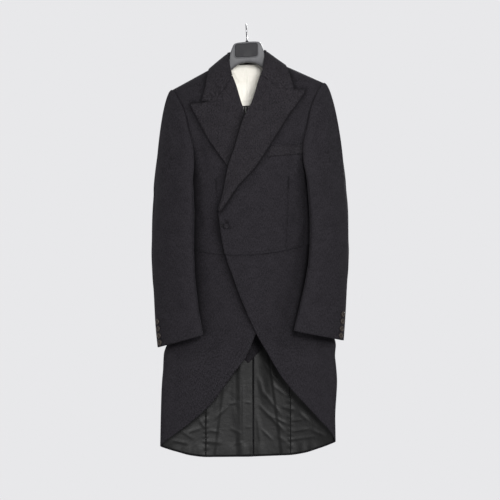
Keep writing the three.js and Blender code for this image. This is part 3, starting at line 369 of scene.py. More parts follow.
def creases(rows, across, down, turn=0):
    """Sum of bell-shaped ridges along straight lines: depth times exp(-(distance / width) squared), faded in
    and out near the ends of each line. With a turn, the first coordinate is an angle that wraps."""
    first, last = list(rows)[0], list(rows)[2]
    scale = {"a1": DEGREE, "k1": STEP_K, "x1": 1}[first]
    total = np.zeros(np.broadcast(across, down).shape)
    for i in range(len(rows["depth"])):
        start = np.array([rows[first][i] * scale, rows["z1"][i]])
        way = np.array([rows[last][i] * scale, rows["z2"][i]]) - start
        offset = across - rows[first][i]
        if turn:
            offset = (offset + turn / 2) % turn - turn / 2
        p, q = offset * scale, down - start[1]
        near = np.clip((p * way[0] + q * way[1]) / (way @ way), 0, 1)
        gap = np.hypot(p - near * way[0], q - near * way[1])
        fade = smooth(near / CREASE_FADE) * smooth((1 - near) / CREASE_FADE)
        total += rows["depth"][i] * fade * bell(gap, rows["width"][i])
    return total


# Torso form
def shoulder_line(x):
    """Height of the shoulder ridge: a straight slope out from the neck point and a parabola between the
    two."""
    slope = (SHOULDER_Z - NECK_Z) / (SHOULDER_X - NECK_X)
    a = np.abs(x)
    inside = NECK_Z + slope * (a * a - NECK_X**2) / (2 * NECK_X)
    return np.where(a < NECK_X, inside, NECK_Z + (a - NECK_X) * slope)


def roundness(x, z):
    """Share of the full depth near the ridge: a quarter circle over the first 100 mm of drop."""
    drop = np.clip((shoulder_line(x) - z) / SHOULDER_ROUND, 0, 1)
    return np.sqrt(1 - (1 - drop) ** 2)


def share(x, half):
    """Depth over full depth across a flattened ellipse: (1 - (x / half) squared) to the power of the
    flatness."""
    return np.maximum(0, 1 - (x / half) ** 2) ** FLATNESS


def on_torso(x, z, face):
    """The point of the form at x and z, on the front (-1) or the back (1)."""
    row = read(TORSO, z)
    full = roundness(x, z)
    depth = np.where(np.asarray(face) < 0, row["front"], row["back"])
    return point(x, face * (depth * share(x, row["half"]) * full + SEAM / 2 * (1 - full)), z)


def around(angle, z):
    """The point of the form at an angle from the front: x is the half width times the sine."""
    angle = np.radians(angle)
    return on_torso(read(TORSO, z)["half"] * np.sin(angle), z, np.where(np.cos(angle) >= 0, -1, 1))


def angle_at(x, z, face):
    """The angle from the front of a point at x and z: the arc sine of x over the half width."""
    front = np.degrees(np.arcsin(np.clip(x / read(TORSO, z)["half"], -1, 1)))
    return np.where(np.asarray(face) < 0, front, 180 - front)


def face_of(p):
    """The side of the form that a point is on: -1 in front and 1 behind."""
    return np.where(p[..., 1] > 0, 1, -1)


def form_field(x, y, z):
    """1 on the form and more outside: the ellipse's equation, and near the ridge that of the round
    shoulder."""
    row = read(TORSO, z)
    depth = np.where(y < 0, row["front"], row["back"])
    centre = shoulder_line(x) - SHOULDER_ROUND
    wide = np.maximum(depth * share(x, row["half"]), 1e-6)
    ridge = (y / wide) ** 2 + ((z - centre) / SHOULDER_ROUND) ** 2
    side = (x / row["half"]) ** 2 + (np.abs(y) / depth) ** (1 / FLATNESS)
    return np.where(z > centre, ridge, side)


def outward(p):
    """The way out of the form at a point: the gradient of its field."""
    h = 0.01
    x, y, z = p[..., 0], p[..., 1], p[..., 2]
    return unit(point(
        form_field(x + h, y, z) - form_field(x - h, y, z),
        form_field(x, y + h, z) - form_field(x, y - h, z),
        form_field(x, y, z + h) - form_field(x, y, z - h),
    ))


def hang(p, sign=1, swings=False):
    """Moves square points to where they hang: a shift and a tilt that change with height, and the sleeves'
    swing. The sign is -1 for a piece of the wearer's right side, which is worked out as a left one."""
    row = read(LEAN, p[..., 2])
    x = sign * p[..., 0]
    swing = DRIFT_FULL * smooth((DRIFT_FROM - p[..., 2]) / DRIFT_OVER) if swings else 0
    return point(x + row["shift"] + swing, p[..., 1], p[..., 2] + row["tilt"] * x)


def front_lift(p, sign):
    """How far the left front lies over the form: the overlap's lift where it covers the right front."""
    if sign < 0:
        return np.zeros(p.shape[:-1])
    under = -read(EDGE, p[..., 2])["right"]
    lift = OVERLAP_LIFT * smooth((under + OVERLAP_FADE - p[..., 0]) / OVERLAP_FADE)
    return np.where(p[..., 1] > 0, 0, lift)


def waist_line(x):
    """Height of the waist seam: a parabola, lowest at the middle."""
    return WAIST_Z + WAIST_RISE * (x / WAIST_HALF) ** 2


def body_relief(p, sign):
    """The creases of the body at points of the form."""
    x, z = p[..., 0], p[..., 2]
    return creases(BODY_CREASES, sign * angle_at(x, z, face_of(p)), z, 360)


# Meshes
def new_piece(name, points, faces, finish, nodes=(), uv=None, painted_shade=None):
    """A mesh object from points in mm and faces of four corners, turned so that its volume is positive. A
    face that names its first corner twice is a triangle."""
    a, b, c, d = np.moveaxis(points[faces], 1, 0)
    if np.sum(a * (np.cross(b, c) + np.cross(c, d))) < 0:
        faces = faces[:, ::-1]
    new_corner = faces != np.roll(faces, 1, axis=1)
    square = new_corner.all(1)
    corners = faces[square].tolist() + faces[~square][new_corner[~square]].reshape(-1, 3).tolist()
    mesh = bpy.data.meshes.new(name)
    mesh.from_pydata((points / 1000).tolist(), [], corners)
    mesh.polygons.foreach_set("use_smooth", np.ones(len(mesh.polygons), bool))
    if uv is not None:
        index = np.zeros(len(mesh.loops), np.int32)
        mesh.loops.foreach_get("vertex_index", index)
        cloth = (uv / 1000)[index].astype(np.float32)
        mesh.uv_layers.new(name="cloth").data.foreach_set("uv", cloth.ravel())
    # painted shade of each point, kept as an attribute for the finishes to darken the colour
    if painted_shade is not None:
        mesh.attributes.new("painted_shade", "FLOAT", "POINT").data.foreach_set("value", painted_shade.astype(np.float32))
    mesh.validate()
    mesh.update()
    mesh.materials.append(finish.material)
    piece = bpy.data.objects.new(name, mesh)
    bpy.context.scene.collection.objects.link(piece)
    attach(piece, "root")
    if nodes:
        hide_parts(*nodes)
    return piece


def border(rows, columns):
    """The grid's outer vertices in order, and for each the nearest vertex inside."""
    index = np.arange(rows * columns).reshape(rows, columns)
    inside = np.pad(index[1:-1, 1:-1], 1, mode="edge").ravel()
    loop = np.concatenate([index[0, :-1], index[:-1, -1], index[-1, :0:-1], index[:0:-1, 0]])
    return loop, inside[loop]


def to_border(outer):
    """The distance of each grid point to the nearest edge of the grid, measured along rows and columns."""
    along = np.linalg.norm(np.diff(outer, axis=1), axis=-1)
    down = np.linalg.norm(np.diff(outer, axis=0), axis=-1)
    left = np.pad(np.cumsum(along, 1), ((0, 0), (1, 0)))
    top = np.pad(np.cumsum(down, 0), ((1, 0), (0, 0)))
    return np.minimum.reduce([left, left[:, -1:] - left, top, top[-1:] - top])


def grid_faces(index):
    """A face between each four neighbours of a grid of vertex numbers."""
    return np.stack([index[:-1, :-1], index[1:, :-1], index[1:, 1:], index[:-1, 1:]], -1).reshape(-1, 4)


def flat_size(outer):
    """The longest row, the longest column and the area of a grid, in metres. The area is the sum of its
    faces' two triangles, and the column is at least the area over the row."""
    across = np.linalg.norm(np.diff(outer, axis=1), axis=-1).sum(1).max() / 1000
    down = np.linalg.norm(np.diff(outer, axis=0), axis=-1).sum(0).max() / 1000
    near = np.cross(outer[1:, :-1] - outer[:-1, :-1], outer[:-1, 1:] - outer[:-1, :-1])
    far = np.cross(outer[1:, :-1] - outer[1:, 1:], outer[:-1, 1:] - outer[1:, 1:])
    area = (np.linalg.norm(near, axis=-1).sum() + np.linalg.norm(far, axis=-1).sum()) / 2e6
    return across, max(down, area / across), area


def shell(name, outer, inner, finish, uv, painted_shadows=0.0):
    """A closed thin wall: the outer grid, the inner grid and a rim that bulges a little. Its flat size is
    worked out but not used. The cloth is painted darker along its border, as seam shade, and takes painted
    shadow where an edge lies on it."""
    rows, columns = outer.shape[:2]
    count = rows * columns
    index = np.arange(count).reshape(rows, columns)
    loop, inside = border(rows, columns)
    flat_outer, flat_inner = outer.reshape(-1, 3), inner.reshape(-1, 3)
    bulge = RIM_BULGE * unit(flat_outer[loop] - flat_outer[inside])
    middle = (flat_outer[loop] + flat_inner[loop]) / 2 + bulge
    following = np.roll(loop, -1)
    rim = 2 * count + np.arange(len(loop))
    rim_next = np.roll(rim, -1)
    faces = np.concatenate([
        grid_faces(index),
        grid_faces(index)[:, ::-1] + count,
        np.stack([loop, following, rim_next, rim], -1),
        np.stack([rim, rim_next, following + count, loop + count], -1),
    ])
    # painted shade along the border, where a seam's shade falls
    seam_shade = BORDER_SHADE * bell(to_border(outer).ravel(), TURN_REACH)
    painted_shade = np.maximum(seam_shade, np.broadcast_to(painted_shadows, (rows, columns)).ravel())
    uv = uv.reshape(-1, 2)
    piece = new_piece(
        name, np.concatenate([flat_outer, flat_inner, middle]), faces, finish, [name],
        np.concatenate([uv, uv, uv[loop]]), np.concatenate([painted_shade, painted_shade, painted_shade[loop]]),
    )
    across, down, area = flat_size(outer)
    return piece


def ring_faces(count, sides, closed=False):
    """Faces between rings of equal size, one after the other: joined back to the first ring, or capped at
    each end by a fan to a pole. The two poles come after the rings."""
    index = np.arange(count * sides).reshape(count, sides)
    rows = np.concatenate([index, index[:1]]) if closed else index
    following = np.roll(rows, -1, 1)
    faces = np.stack([rows[:-1], rows[1:], following[1:], following[:-1]], -1).reshape(-1, 4)
    if closed:
        return faces
    first, last = np.full(sides, count * sides), np.full(sides, count * sides + 1)
    start = np.stack([first, index[0], following[0], first], -1)
    end = np.stack([last, following[-1], index[-1], last], -1)
    return np.concatenate([faces, start, end])


def tube(path, radius, sides=8):
    """A tube round a short path, closed at both ends: circles across the path's own direction."""
    along = unit(np.gradient(path, axis=0))
    side = unit(np.cross(along, unit(path[0] - path[-1] + 1e-3) + (0.3, 0.7, 0.2)))
    lift = np.cross(along, side)
    angle = np.linspace(0, 2 * np.pi, sides, endpoint=False)[:, None, None]
    rings = np.moveaxis(path + radius * (np.cos(angle) * side + np.sin(angle) * lift), 0, 1)
    return np.concatenate([rings.reshape(-1, 3), path[:1], path[-1:]]), ring_faces(len(path), sides)


def joined(name, parts, finish):
    """Several small closed parts in one mesh: each part's faces are numbered on from the points before it."""
    first = np.cumsum([0] + [len(points) for points, _ in parts])
    points = np.concatenate([points for points, _ in parts])
    faces = np.concatenate([faces + start for (_, faces), start in zip(parts, first)])
    return new_piece(name, points, faces, finish, uv=points[:, :2])


def spread(size, pitch=4.5):
    """Values from 0 to 1 across a size in mm: even steps, and closer ones beside both ends for the seam."""
    close = np.array([0, 0.7, 1.6, 2.9]) / size
    even = np.linspace(4.5 / size, 1 - 4.5 / size, max(int(size / pitch), 2))
    return np.concatenate([close, even, 1 - close[::-1]])


def with_rows(even, *extra):
    """Even values with some extra ones, sorted, as a column."""
    return np.unique(np.concatenate([even, extra]))[:, None]


# Shade of edges that lie on the cloth
def beside(gap):
    """A narrow painted shadow line at an edge and a wide soft painted shade beside it."""
    return EDGE_LINE * bell(gap, LINE_WIDTH) + EDGE_SHADE * bell(gap, SHADE_WIDTH)


def nearest(x, z, line_x, line_z):
    """The distance in front view from each point to the nearest point of a line."""
    return np.hypot(x[..., None] - line_x, z[..., None] - line_z).min(-1)


def painted_edge_shade(name, sign, x, z):
    """Painted shadow of the edges that lie on a front, 1 along them and 0 some millimetres from them: the
    outer edges of the lapel and of the collar, and on the right front the edge of the left one."""
    row = read(LAPEL[name], np.linspace(0, 11, 160))
    peak = np.linspace(LAPEL_NOTCH, 1, 20)
    top = {key: float(read(LAPEL[name], 0)[key]) for key in ("roll", "x", "z", "dip")}
    top_x = mix(float(read(EDGE, top["roll"])[name]), top["x"], peak)
    top_z = mix(top["roll"], top["z"], peak) - top["dip"] * tent(peak, LAPEL_NOTCH)
    outer = collar_fall(sign * np.linspace(0.5, 1, 60)[None, :], np.array([[1.0]]))[0]
    end = collar_fall(np.array([[float(sign)]]), np.linspace(COLLAR_NOTCH, 1, 20)[:, None])[:, 0]
    line_x = np.concatenate([row["x"], top_x, sign * outer[:, 0], sign * end[:, 0]])
    line_z = np.concatenate([row["z"], top_z, outer[:, 2], end[:, 2]])
    return np.maximum(beside(nearest(x, z, line_x, line_z)), under_left_front(sign, x, z))


def under_left_front(sign, x, z):
    """The shade of the left front's edge on the right one, down to where the two part."""
    if sign > 0:
        return np.zeros(np.broadcast(x, z).shape)
    gap = np.abs(x + read(EDGE, z)["left"]) * FRONT_CLOSENESS
    return beside(gap) * smooth((z - FRONTS_PART_Z) / 60)


def under_sleeve(name, sign, x, z):
    """The shade of the hanging sleeve's inner edge on the front and the skirt beside it, down to the cuff."""
    edge = read(SLEEVE, z)["inner"] + read(SLEEVE_TRIM[name], z)["inner"]
    edge = edge + sign * DRIFT_FULL * smooth((DRIFT_FROM - z) / DRIFT_OVER)
    gap = (edge - x) * SLEEVE_CLOSENESS[name]
    return beside(gap) * smooth((-300 - z) / 60) * smooth((z - CUFF_Z - 4) / 16)


def dart_line(x, z, name):
    """How far a point is from the sewn line of the chest dart, which runs from the lapel to the waist."""
    top, foot = DART[name]
    return x - mix(top, foot, np.clip((DART_TOP - z) / DART_TALL, 0, 1))


def dart_shade(x, z, name):
    """Painted shade in the dart's seam: a dark line, fainter at its upper point."""
    shade = (0.35 + 0.5 * smooth((z + 440) / 16)) * smooth((-396 - z) / 8)
    return shade * bell(dart_line(x, z, name), 2) * smooth((z + 592) / 12)


def dart_dip(x, z, name):
    """The dart's relief: a groove half a millimetre deep between two soft swells, faded at both its ends."""
    gap = dart_line(x, z, name)
    groove = -0.55 * bell(gap, 2.4) + 0.35 * bell(gap, 8)
    return groove * smooth((-400 - z) / 20) * smooth((z + 585) / 20)


def on_form(name, base, lift, sign, finish, thickness=WOOL, extra=0, sink=SEAM_SINK, turned=0, painted_shadows=0.0):
    """A shell on the torso. Its outer face is the form moved out by the lift and the relief, less a small
    sink along its border where the seam pulls it in. Where the border is turned in, the wall is thicker."""
    out = outward(base)
    height = lift + body_relief(base, sign) + extra
    near = to_border(base)
    edge = sink * bell(near, SINK_REACH)
    deep = thickness + TURNING * turned * bell(near, TURN_REACH)
    outer = hang(base + out * (height - edge)[..., None], sign)
    inner = hang(base + out * (height - deep)[..., None], sign)
    angle = np.radians(angle_at(base[..., 0], base[..., 2], face_of(base)))
    uv = np.stack([PATTERN_RADIUS * angle, base[..., 2]], -1)
    return shell(name, outer, inner, finish, uv, painted_shadows)


# Finishes
class Value:
    """A number that changes over a surface. Arithmetic on it adds Math nodes."""

    def __init__(self, finish, socket):
        self.finish = finish
        self.socket = socket

    def math(self, operation, *others):
        """The value of one Math node, whose inputs are this value and the others in order."""
        values = {i: getattr(v, "socket", v) for i, v in enumerate((self, *others))}
        node = self.finish.node("ShaderNodeMath", {"operation": operation}, values)
        return Value(self.finish, node.outputs[0])

    def __add__(self, other):
        return self.math("ADD", other)

    def __mul__(self, other):
        return self.math("MULTIPLY", other)

    def __sub__(self, other):
        return self.math("SUBTRACT", other)

    def __rsub__(self, other):
        return (self * -1) + other

    def __pow__(self, other):
        return self.math("POWER", other)

    __radd__ = __add__
    __rmul__ = __mul__

    def clamped(self):
        """The value held between 0 and 1."""
        return self.math("MINIMUM", 1).math("MAXIMUM", 0)


class Finish:
    """One material and the name of its slot, which is kept but given to nothing: a Principled shader whose
    fixed values are set on its own sockets."""

    def __init__(self, name, slot, fixed):
        self.slot = slot
        self.material = bpy.data.materials.new(name)
        self.material.use_nodes = True
        self.tree = self.material.node_tree
        self.tree.nodes.clear()
        self.shader = self.node("ShaderNodeBsdfPrincipled", {}, fixed)
        self.node("ShaderNodeOutputMaterial", {}, {"Surface": self.shader.outputs["BSDF"]})

    def node(self, kind, settings, sockets):
        """A node of a kind, with its settings made first and then the values or links of its sockets."""
        node = self.tree.nodes.new(kind)
        for key, value in settings.items():
            setattr(node, key, value)
        for key, value in sockets.items():
            if isinstance(value, bpy.types.NodeSocket):
                self.tree.links.new(value, node.inputs[key])
            else:
                node.inputs[key].default_value = value
        return node

    def coordinates(self, stretch=(1, 1, 1), on_cloth=True, turn=0.0):
        """The piece's own UV in metres, or its Object coordinates, stretched and turned."""
        if on_cloth:
            source = self.node("ShaderNodeUVMap", {"uv_map": "cloth"}, {}).outputs["UV"]
        else:
            source = self.node("ShaderNodeTexCoord", {}, {}).outputs["Object"]
        sockets = {"Vector": source, "Scale": stretch, "Rotation": (0, 0, turn)}
        return self.node("ShaderNodeMapping", {}, sockets).outputs["Vector"]

    def noise(self, where, scale, detail=2.0, rough=0.5):
        """Noise between 0 and 1, with one grain for each 1 / scale metres."""
        sockets = {"Vector": where, "Scale": scale, "Detail": detail, "Roughness": rough}
        return Value(self, self.node("ShaderNodeTexNoise", {}, sockets).outputs["Fac"])

    def painted_shade(self):
        """1 where painted shade darkens the cloth, beside an edge that lies on it or along a seam, and 0 a
        few millimetres away.
        """
        return Value(self, self.node("ShaderNodeAttribute", {"attribute_name": "painted_shade"}, {}).outputs["Fac"])

    def blend(self, factor, first, second):
        """The first colour at 0 and the second at 1."""
        colours = {"Factor": factor.socket, 6: (*first, 1), 7: (*second, 1)}
        return self.node("ShaderNodeMix", {"data_type": "RGBA", "blend_type": "MIX"}, colours).outputs[2]

    def set(self, name, value):
        """Feeds one of the shader's sockets."""
        self.tree.links.new(getattr(value, "socket", value), self.shader.inputs[name])

    def bump(self, height, strength, distance):
        """Tilts the shading by a height that changes over the surface."""
        sockets = {"Height": height.socket, "Strength": strength, "Distance": distance}
        self.set("Normal", self.node("ShaderNodeBump", {}, sockets).outputs["Normal"])


def wool_finish(name, dark, light):
    """Fine worsted: a mottle of dark and light fibres over a slanting twill, rough and with a soft sheen."""
    sheen = {"Sheen Weight": 0.02, "Sheen Roughness": 0.4, "Sheen Tint": (0.9, 0.88, 1, 1)}
    wool = Finish(name, "wool", {**sheen, "Specular IOR Level": 0.05})
    flecks = wool.noise(wool.coordinates((1, 0.6, 1), turn=0.7), 480, 2, 0.6)
    clouds = wool.noise(wool.coordinates(), 30, 2, 0.5)
    twill = wool.noise(wool.coordinates((1, 0.16, 1), turn=0.9), 700, 1, 0.5)
    weave = (flecks - 0.5) * 3.4 + (clouds - 0.5) * 0.45 + (twill - 0.5) * 1.6
    # the painted shade darkens the wool's colour
    wool.set("Base Color", wool.blend((weave + 0.5 - wool.painted_shade() * 0.95).clamped(), dark, light))
    wool.set("Roughness", (0.86 + (flecks - 0.5) * 0.2).clamped())
    wool.bump(twill * 0.6 + flecks * 0.6 + clouds * 0.5, 0.2, 0.0005)
    return wool


def satin_finish(name, slot, dark, light, rough):
    """Lining satin: smooth, with fine threads along it, a broad gloss and an uneven mottle."""
    satin = Finish(name, slot, {"Sheen Weight": 0.03, "Sheen Roughness": 0.3, "Specular IOR Level": 0.1})
    threads = satin.noise(satin.coordinates((1, 0.06, 1)), 900, 1, 0.5)
    clouds = satin.noise(satin.coordinates(), 26, 3, 0.6)
    mottle = satin.noise(satin.coordinates(), 95, 4, 0.62)
    # the painted shade darkens the satin's colour
    tone = clouds * 0.8 + threads * 0.3 + (mottle - 0.5) * 0.8 - 0.1 - satin.painted_shade() * 0.3
    satin.set("Base Color", satin.blend(tone.clamped(), dark, light))
    satin.set("Roughness", (rough + (clouds - 0.5) * 0.25 + (threads - 0.5) * 0.1).clamped())
    satin.bump(threads * 0.25 + clouds * 1.2 + mottle * 0.7, 0.4, 0.0012)
    return satin


def horn_finish():
    """Polished dark horn with paler streaks."""
    horn = Finish("dark_horn", "horn", {"Coat Roughness": 0.25, "Specular IOR Level": 0.2})
    streaks = horn.noise(horn.coordinates((1, 1, 0.25), on_cloth=False), 380, 4, 0.6)
    grain = horn.noise(horn.coordinates(on_cloth=False), 1500, 2, 0.5)
    tone = (streaks ** 2 * 1.6).clamped()
    horn.set("Base Color", horn.blend(tone, (0.004, 0.0032, 0.0028), (0.034, 0.024, 0.017)))
    horn.set("Roughness", 0.32 + grain * 0.22)
    horn.set("Coat Weight", 0.02 + streaks * 0.08)
    horn.bump(grain + streaks * 0.5, 0.15, 0.0002)
    return horn


def plastic_finish(name, slot, dark, light, rough):
    """Moulded plastic with a fine spark-eroded grain and a few soft scuffs."""
    plastic = Finish(name, slot, {"Specular IOR Level": 0.16})
    grain = plastic.noise(plastic.coordinates(on_cloth=False), 1400, 2, 0.6)
    scuffs = plastic.noise(plastic.coordinates((1, 1, 0.3), on_cloth=False), 90, 4, 0.6)
    tone = (scuffs * 1.2 - 0.1 + (grain - 0.5) * 0.4).clamped()
    plastic.set("Base Color", plastic.blend(tone, dark, light))
    plastic.set("Roughness", (rough + (scuffs - 0.5) * 0.3 + (grain - 0.5) * 0.15).clamped())
    plastic.bump(grain, 0.25, 0.0002)
    return plastic


def steel_finish(name, dark, light):
    """Drawn steel with fine lines along it and soft spots."""
    steel = Finish(name, "steel", {})
    lines = steel.noise(steel.coordinates((1, 1, 0.1), on_cloth=False), 2200, 2, 0.6)
    spots = steel.noise(steel.coordinates(on_cloth=False), 240, 3, 0.6)
    steel.set("Base Color", steel.blend((spots * 1.6 - 0.3).clamped(), dark, light))
    steel.set("Metallic", 0.93 + spots * 0.07)
    steel.set("Roughness", 0.16 + lines * 0.22)
    steel.bump(lines, 0.15, 0.0001)
    return steel


BODY_WOOL = wool_finish("charcoal_wool", (0.0036, 0.0033, 0.004), (0.0152, 0.0139, 0.0165))
CANVAS_WOOL = wool_finish("lapel_wool", (0.004, 0.0036, 0.0043), (0.0162, 0.0148, 0.0171))
BLACK_SATIN = satin_finish("black_satin", "satin", (0.0015, 0.0015, 0.0015), (0.0077, 0.0077, 0.0077), 0.44)
# pale colour for the fine folds of the black lining: a painted highlight on black satin
FOLD_HIGHLIGHT_SATIN = satin_finish("fold_highlight_satin", "satin", (0.12, 0.12, 0.115), (0.3, 0.3, 0.29), 0.5)
CREAM_SATIN = satin_finish("cream_satin", "cream_satin", (0.74, 0.71, 0.63), (0.9, 0.88, 0.82), 0.5)
DARK_HORN = horn_finish()
GREY_PLASTIC = plastic_finish(
    "grey_plastic", "hanger_plastic", (0.036, 0.036, 0.038), (0.09, 0.09, 0.094), 0.5)
PLATE_PLASTIC = plastic_finish(
    "plate_plastic", "plate_plastic", (0.0012, 0.0012, 0.0018), (0.01, 0.0095, 0.0115), 0.55)
STEEL = steel_finish("drawn_steel", (0.05, 0.05, 0.055), (0.26, 0.26, 0.27))
DARK_STEEL = steel_finish("blued_steel", (0.02, 0.02, 0.023), (0.07, 0.07, 0.075))


# Coat body
def forepart(name, sign):
    """Rows run straight from the front edge to the armhole and the side seam, and the last one follows the
    waist."""
    r = with_rows(np.linspace(0, 13, 170), 12.93, 12.97)
    t = spread(190, 3)[None, :]
    i = np.arange(14)
    side_z = read(ARMHOLE, np.arange(9))["z"].tolist() + SIDE_ROWS
    low = np.interp(r, i, FRONT_ROWS)
    hole = read(ARMHOLE, np.minimum(r, FRONT_NOTCH))
    side = np.where(r <= FRONT_NOTCH, hole["z"], np.interp(r, i, side_z))
    angle = np.where(r <= FRONT_NOTCH, hole["angle"], SIDE_ANGLE) - SEAM_ANGLE * (r >= FRONT_NOTCH)
    fall = np.clip(r - 12, 0, 1)
    upper = mix(read(EDGE, low)[name], around(angle, side)[..., 0], t)
    waist = mix(read(EDGE, WAIST_Z + 4)[name], around(SIDE_ANGLE - SEAM_ANGLE, SIDE_SEAM_FOOT)[0], t)
    x = mix(upper, waist, fall)
    z = mix(mix(low, side, t), waist_line(x) + WAIST_GAP, fall)
    base = on_torso(x, z, -1)
    # painted shadows on the front: of the lapel, collar and left front edges, along the dart, beside the
    # sleeve, round the button
    shades = [painted_edge_shade(name, sign, x, z), dart_shade(x, z, name), under_sleeve(name, sign, x, z)]
    if sign > 0:
        round_button = np.hypot(x - FRONT_BUTTON[0], z - FRONT_BUTTON[1]) - BUTTON_RADIUS
        shades.append(BUTTON_SHADE * bell(round_button, BUTTON_SHADE_WIDTH))
    turned = np.maximum(smooth((t - 0.1) / 0.1) + 0 * r, smooth((-580 - z) / 8))
    return on_form(
        f"forepart_{name}", base, front_lift(base, sign), sign, BODY_WOOL, extra=dart_dip(x, z, name),
        turned=turned, painted_shadows=np.maximum.reduce(shades),
    )


def side_body(name, sign):
    """Between the forepart and the back seam, under the arm."""
    r = with_rows(np.linspace(0, 6, 56), 5.94, 5.98)
    t = spread(120)[None, :]
    i = np.arange(7)
    front_z = np.interp(r, i, [FRONT_NOTCH_Z, *SIDE_ROWS, SIDE_SEAM_FOOT])
    back_z = np.interp(r, i, [BACK_NOTCH_Z, *BACK_SEAM_ROWS, BACK_SEAM_FOOT])
    fade = np.clip(1 - r / 6, 0, 1) ** 2
    hole = read(ARMHOLE, mix(FRONT_NOTCH, BACK_NOTCH, t))
    turn = (hole["angle"] - mix(SIDE_ANGLE, BACK_NOTCH_ANGLE, t)) * fade
    angle = mix(SIDE_ANGLE + SEAM_ANGLE, seam_angle(back_z) - SEAM_ANGLE, t) + turn
    z = mix(front_z, back_z, t) + (hole["z"] - mix(FRONT_NOTCH_Z, BACK_NOTCH_Z, t)) * fade
    fall = np.clip(r - 5, 0, 1)
    x = read(TORSO, z)["half"] * np.sin(np.radians(angle))
    z = mix(z, waist_line(x) + WAIST_GAP, fall)
    end = np.where(fall > 0, seam_angle(z), seam_angle(back_z))
    base = around(mix(SIDE_ANGLE + SEAM_ANGLE, end - SEAM_ANGLE, t) + turn, z)
    return on_form(f"side_body_{name}", base, 0, sign, BODY_WOOL, turned=1)


def from_back_edge(z, past):
    """The angle of the point that is so many millimetres past the side edge of the back and the tail."""
    return angle_at(read(BACK_EDGE, z)["x"] + past, z, 1)


def seam_angle(z):
    """The back seam as an angle: straight from the armhole's back notch to the first row of the seam, then
    along the tabled curve."""
    first = BACK_SEAM_ROWS[0]
    near = np.clip((BACK_NOTCH_Z - z) / (BACK_NOTCH_Z - first), 0, 1)
    return np.where(z > first, mix(BACK_NOTCH_ANGLE, from_back_edge(first, 0), near), from_back_edge(z, 0))


def neck_line(x):
    """The neck seam at the back: a parabola up to the neck points, then the shoulder line."""
    return np.where(x < NECK_X, mix(BACK_NECK_Z, NECK_Z, (x / NECK_X) ** 2), shoulder_line(x))


def back_lift(p, sign):
    """The right tail passes under the left one at the vent."""
    if sign > 0:
        return np.zeros(p.shape[:-1])
    return -VENT_DEPTH * smooth((p[..., 0] - 34) / -16) * smooth((VENT_TOP + 40 - p[..., 2]) / 40)


def back(name, sign):
    """From the neck and shoulder to the hem, the tail in one with the back. The cloth is shaded under the
    outer edge of the collar."""
    last, notch = 22, LOOP - BACK_NOTCH
    r = with_rows(np.linspace(0, last, 230), 0.03, 0.08, last - 0.04, last - 0.02)
    t = spread(160)[None, :]
    i = np.arange(last + 1)
    centre = np.interp(r, i, BACK_ROWS + TAIL_ROWS)
    end_z = [*read(ARMHOLE, LOOP - np.arange(9))["z"], *BACK_SEAM_ROWS, *TAIL_ROWS]
    hole = read(ARMHOLE, LOOP - np.minimum(r, notch))
    side_z = np.where(r <= notch, hole["z"], np.interp(r, i, end_z))
    angle = np.where(r <= notch, hole["angle"], seam_angle(side_z) + SEAM_ANGLE)
    start = SEAM / 2 - VENT_LAP[name] * smooth((VENT_TOP - centre) / 24)
    x = mix(start, around(angle, side_z)[..., 0], t)
    top = neck_line(mix(0, SHOULDER_X, t)) - mix(BACK_NECK_Z, SHOULDER_Z, t)
    z = mix(centre, side_z, t) + top * np.clip(1 - r / 9, 0, 1)
    low = read(HEM, angle_at(np.abs(x), z, 1))["z"]
    z = mix(z, low, np.clip(r - (last - 1), 0, 1) ** 2)
    base = on_torso(x, z, 1)
    turned = smooth((z + 594) / 16) * smooth((neck_line(x) - 22 - z) / 8)
    outer = collar_fall(sign * np.linspace(0, 0.55, 60)[None, :], np.array([[1.0]]))[0]
    # painted shadow of the collar's outer edge on the back
    shade = beside(nearest(x, z, sign * outer[:, 0], outer[:, 2]))
    lift = back_lift(base, sign)
    return on_form(f"back_{name}", base, lift, sign, BODY_WOOL, turned=turned, painted_shadows=shade)


def skirt_lift(p, sign):
    """The left skirt over the right one in front, and both under the tails behind the pleat."""
    inside = read(BACK_EDGE, p[..., 2])["x"] + 6 - p[..., 0]
    return np.where(p[..., 1] < 0, front_lift(p, sign), -PLEAT_DEPTH * smooth(1 + inside / PLEAT_FADE))


def skirt(name, sign):
    """From the waist seam and the cutaway edge round the side and under the tail."""
    t = spread(520, 5)[:, None]
    u = spread(330)[None, :]
    front_z = mix(WAIST_Z, CORNER_Z, t)
    back_z = mix(WAIST_Z, SKIRT_BACK_Z, t)
    start = angle_at(read(EDGE, front_z)[name], front_z, -1)
    pleat = from_back_edge(back_z, PLEAT_FADE + 7)
    end = from_back_edge(back_z, -PLEAT_UNDERLAP)
    angle = np.concatenate([mix(start, pleat, u), mix(pleat, end, np.linspace(0, 1, 15)[None, 1:])], 1)
    round_share = (angle - start) / (end - start)
    x = read(TORSO, front_z)["half"] * np.sin(np.radians(angle))
    drop = read(HEM, angle)["z"] - mix(CORNER_Z, SKIRT_BACK_Z, round_share)
    z = mix(front_z, back_z, round_share) + drop * t**3
    z += (waist_line(x) - WAIST_GAP - WAIST_Z) * np.clip(1 - t * 6, 0, 1)
    base = around(angle, z)
    # painted shadows of the left front's edge and of the sleeve, on the front of the skirt only
    shade = np.maximum(under_left_front(sign, x, z), under_sleeve(name, sign, x, z)) * (base[..., 1] < 0)
    lift, turned = skirt_lift(base, sign), smooth((z + 640) / 20)
    return on_form(f"skirt_{name}", base, lift, sign, BODY_WOOL, turned=turned, painted_shadows=shade)


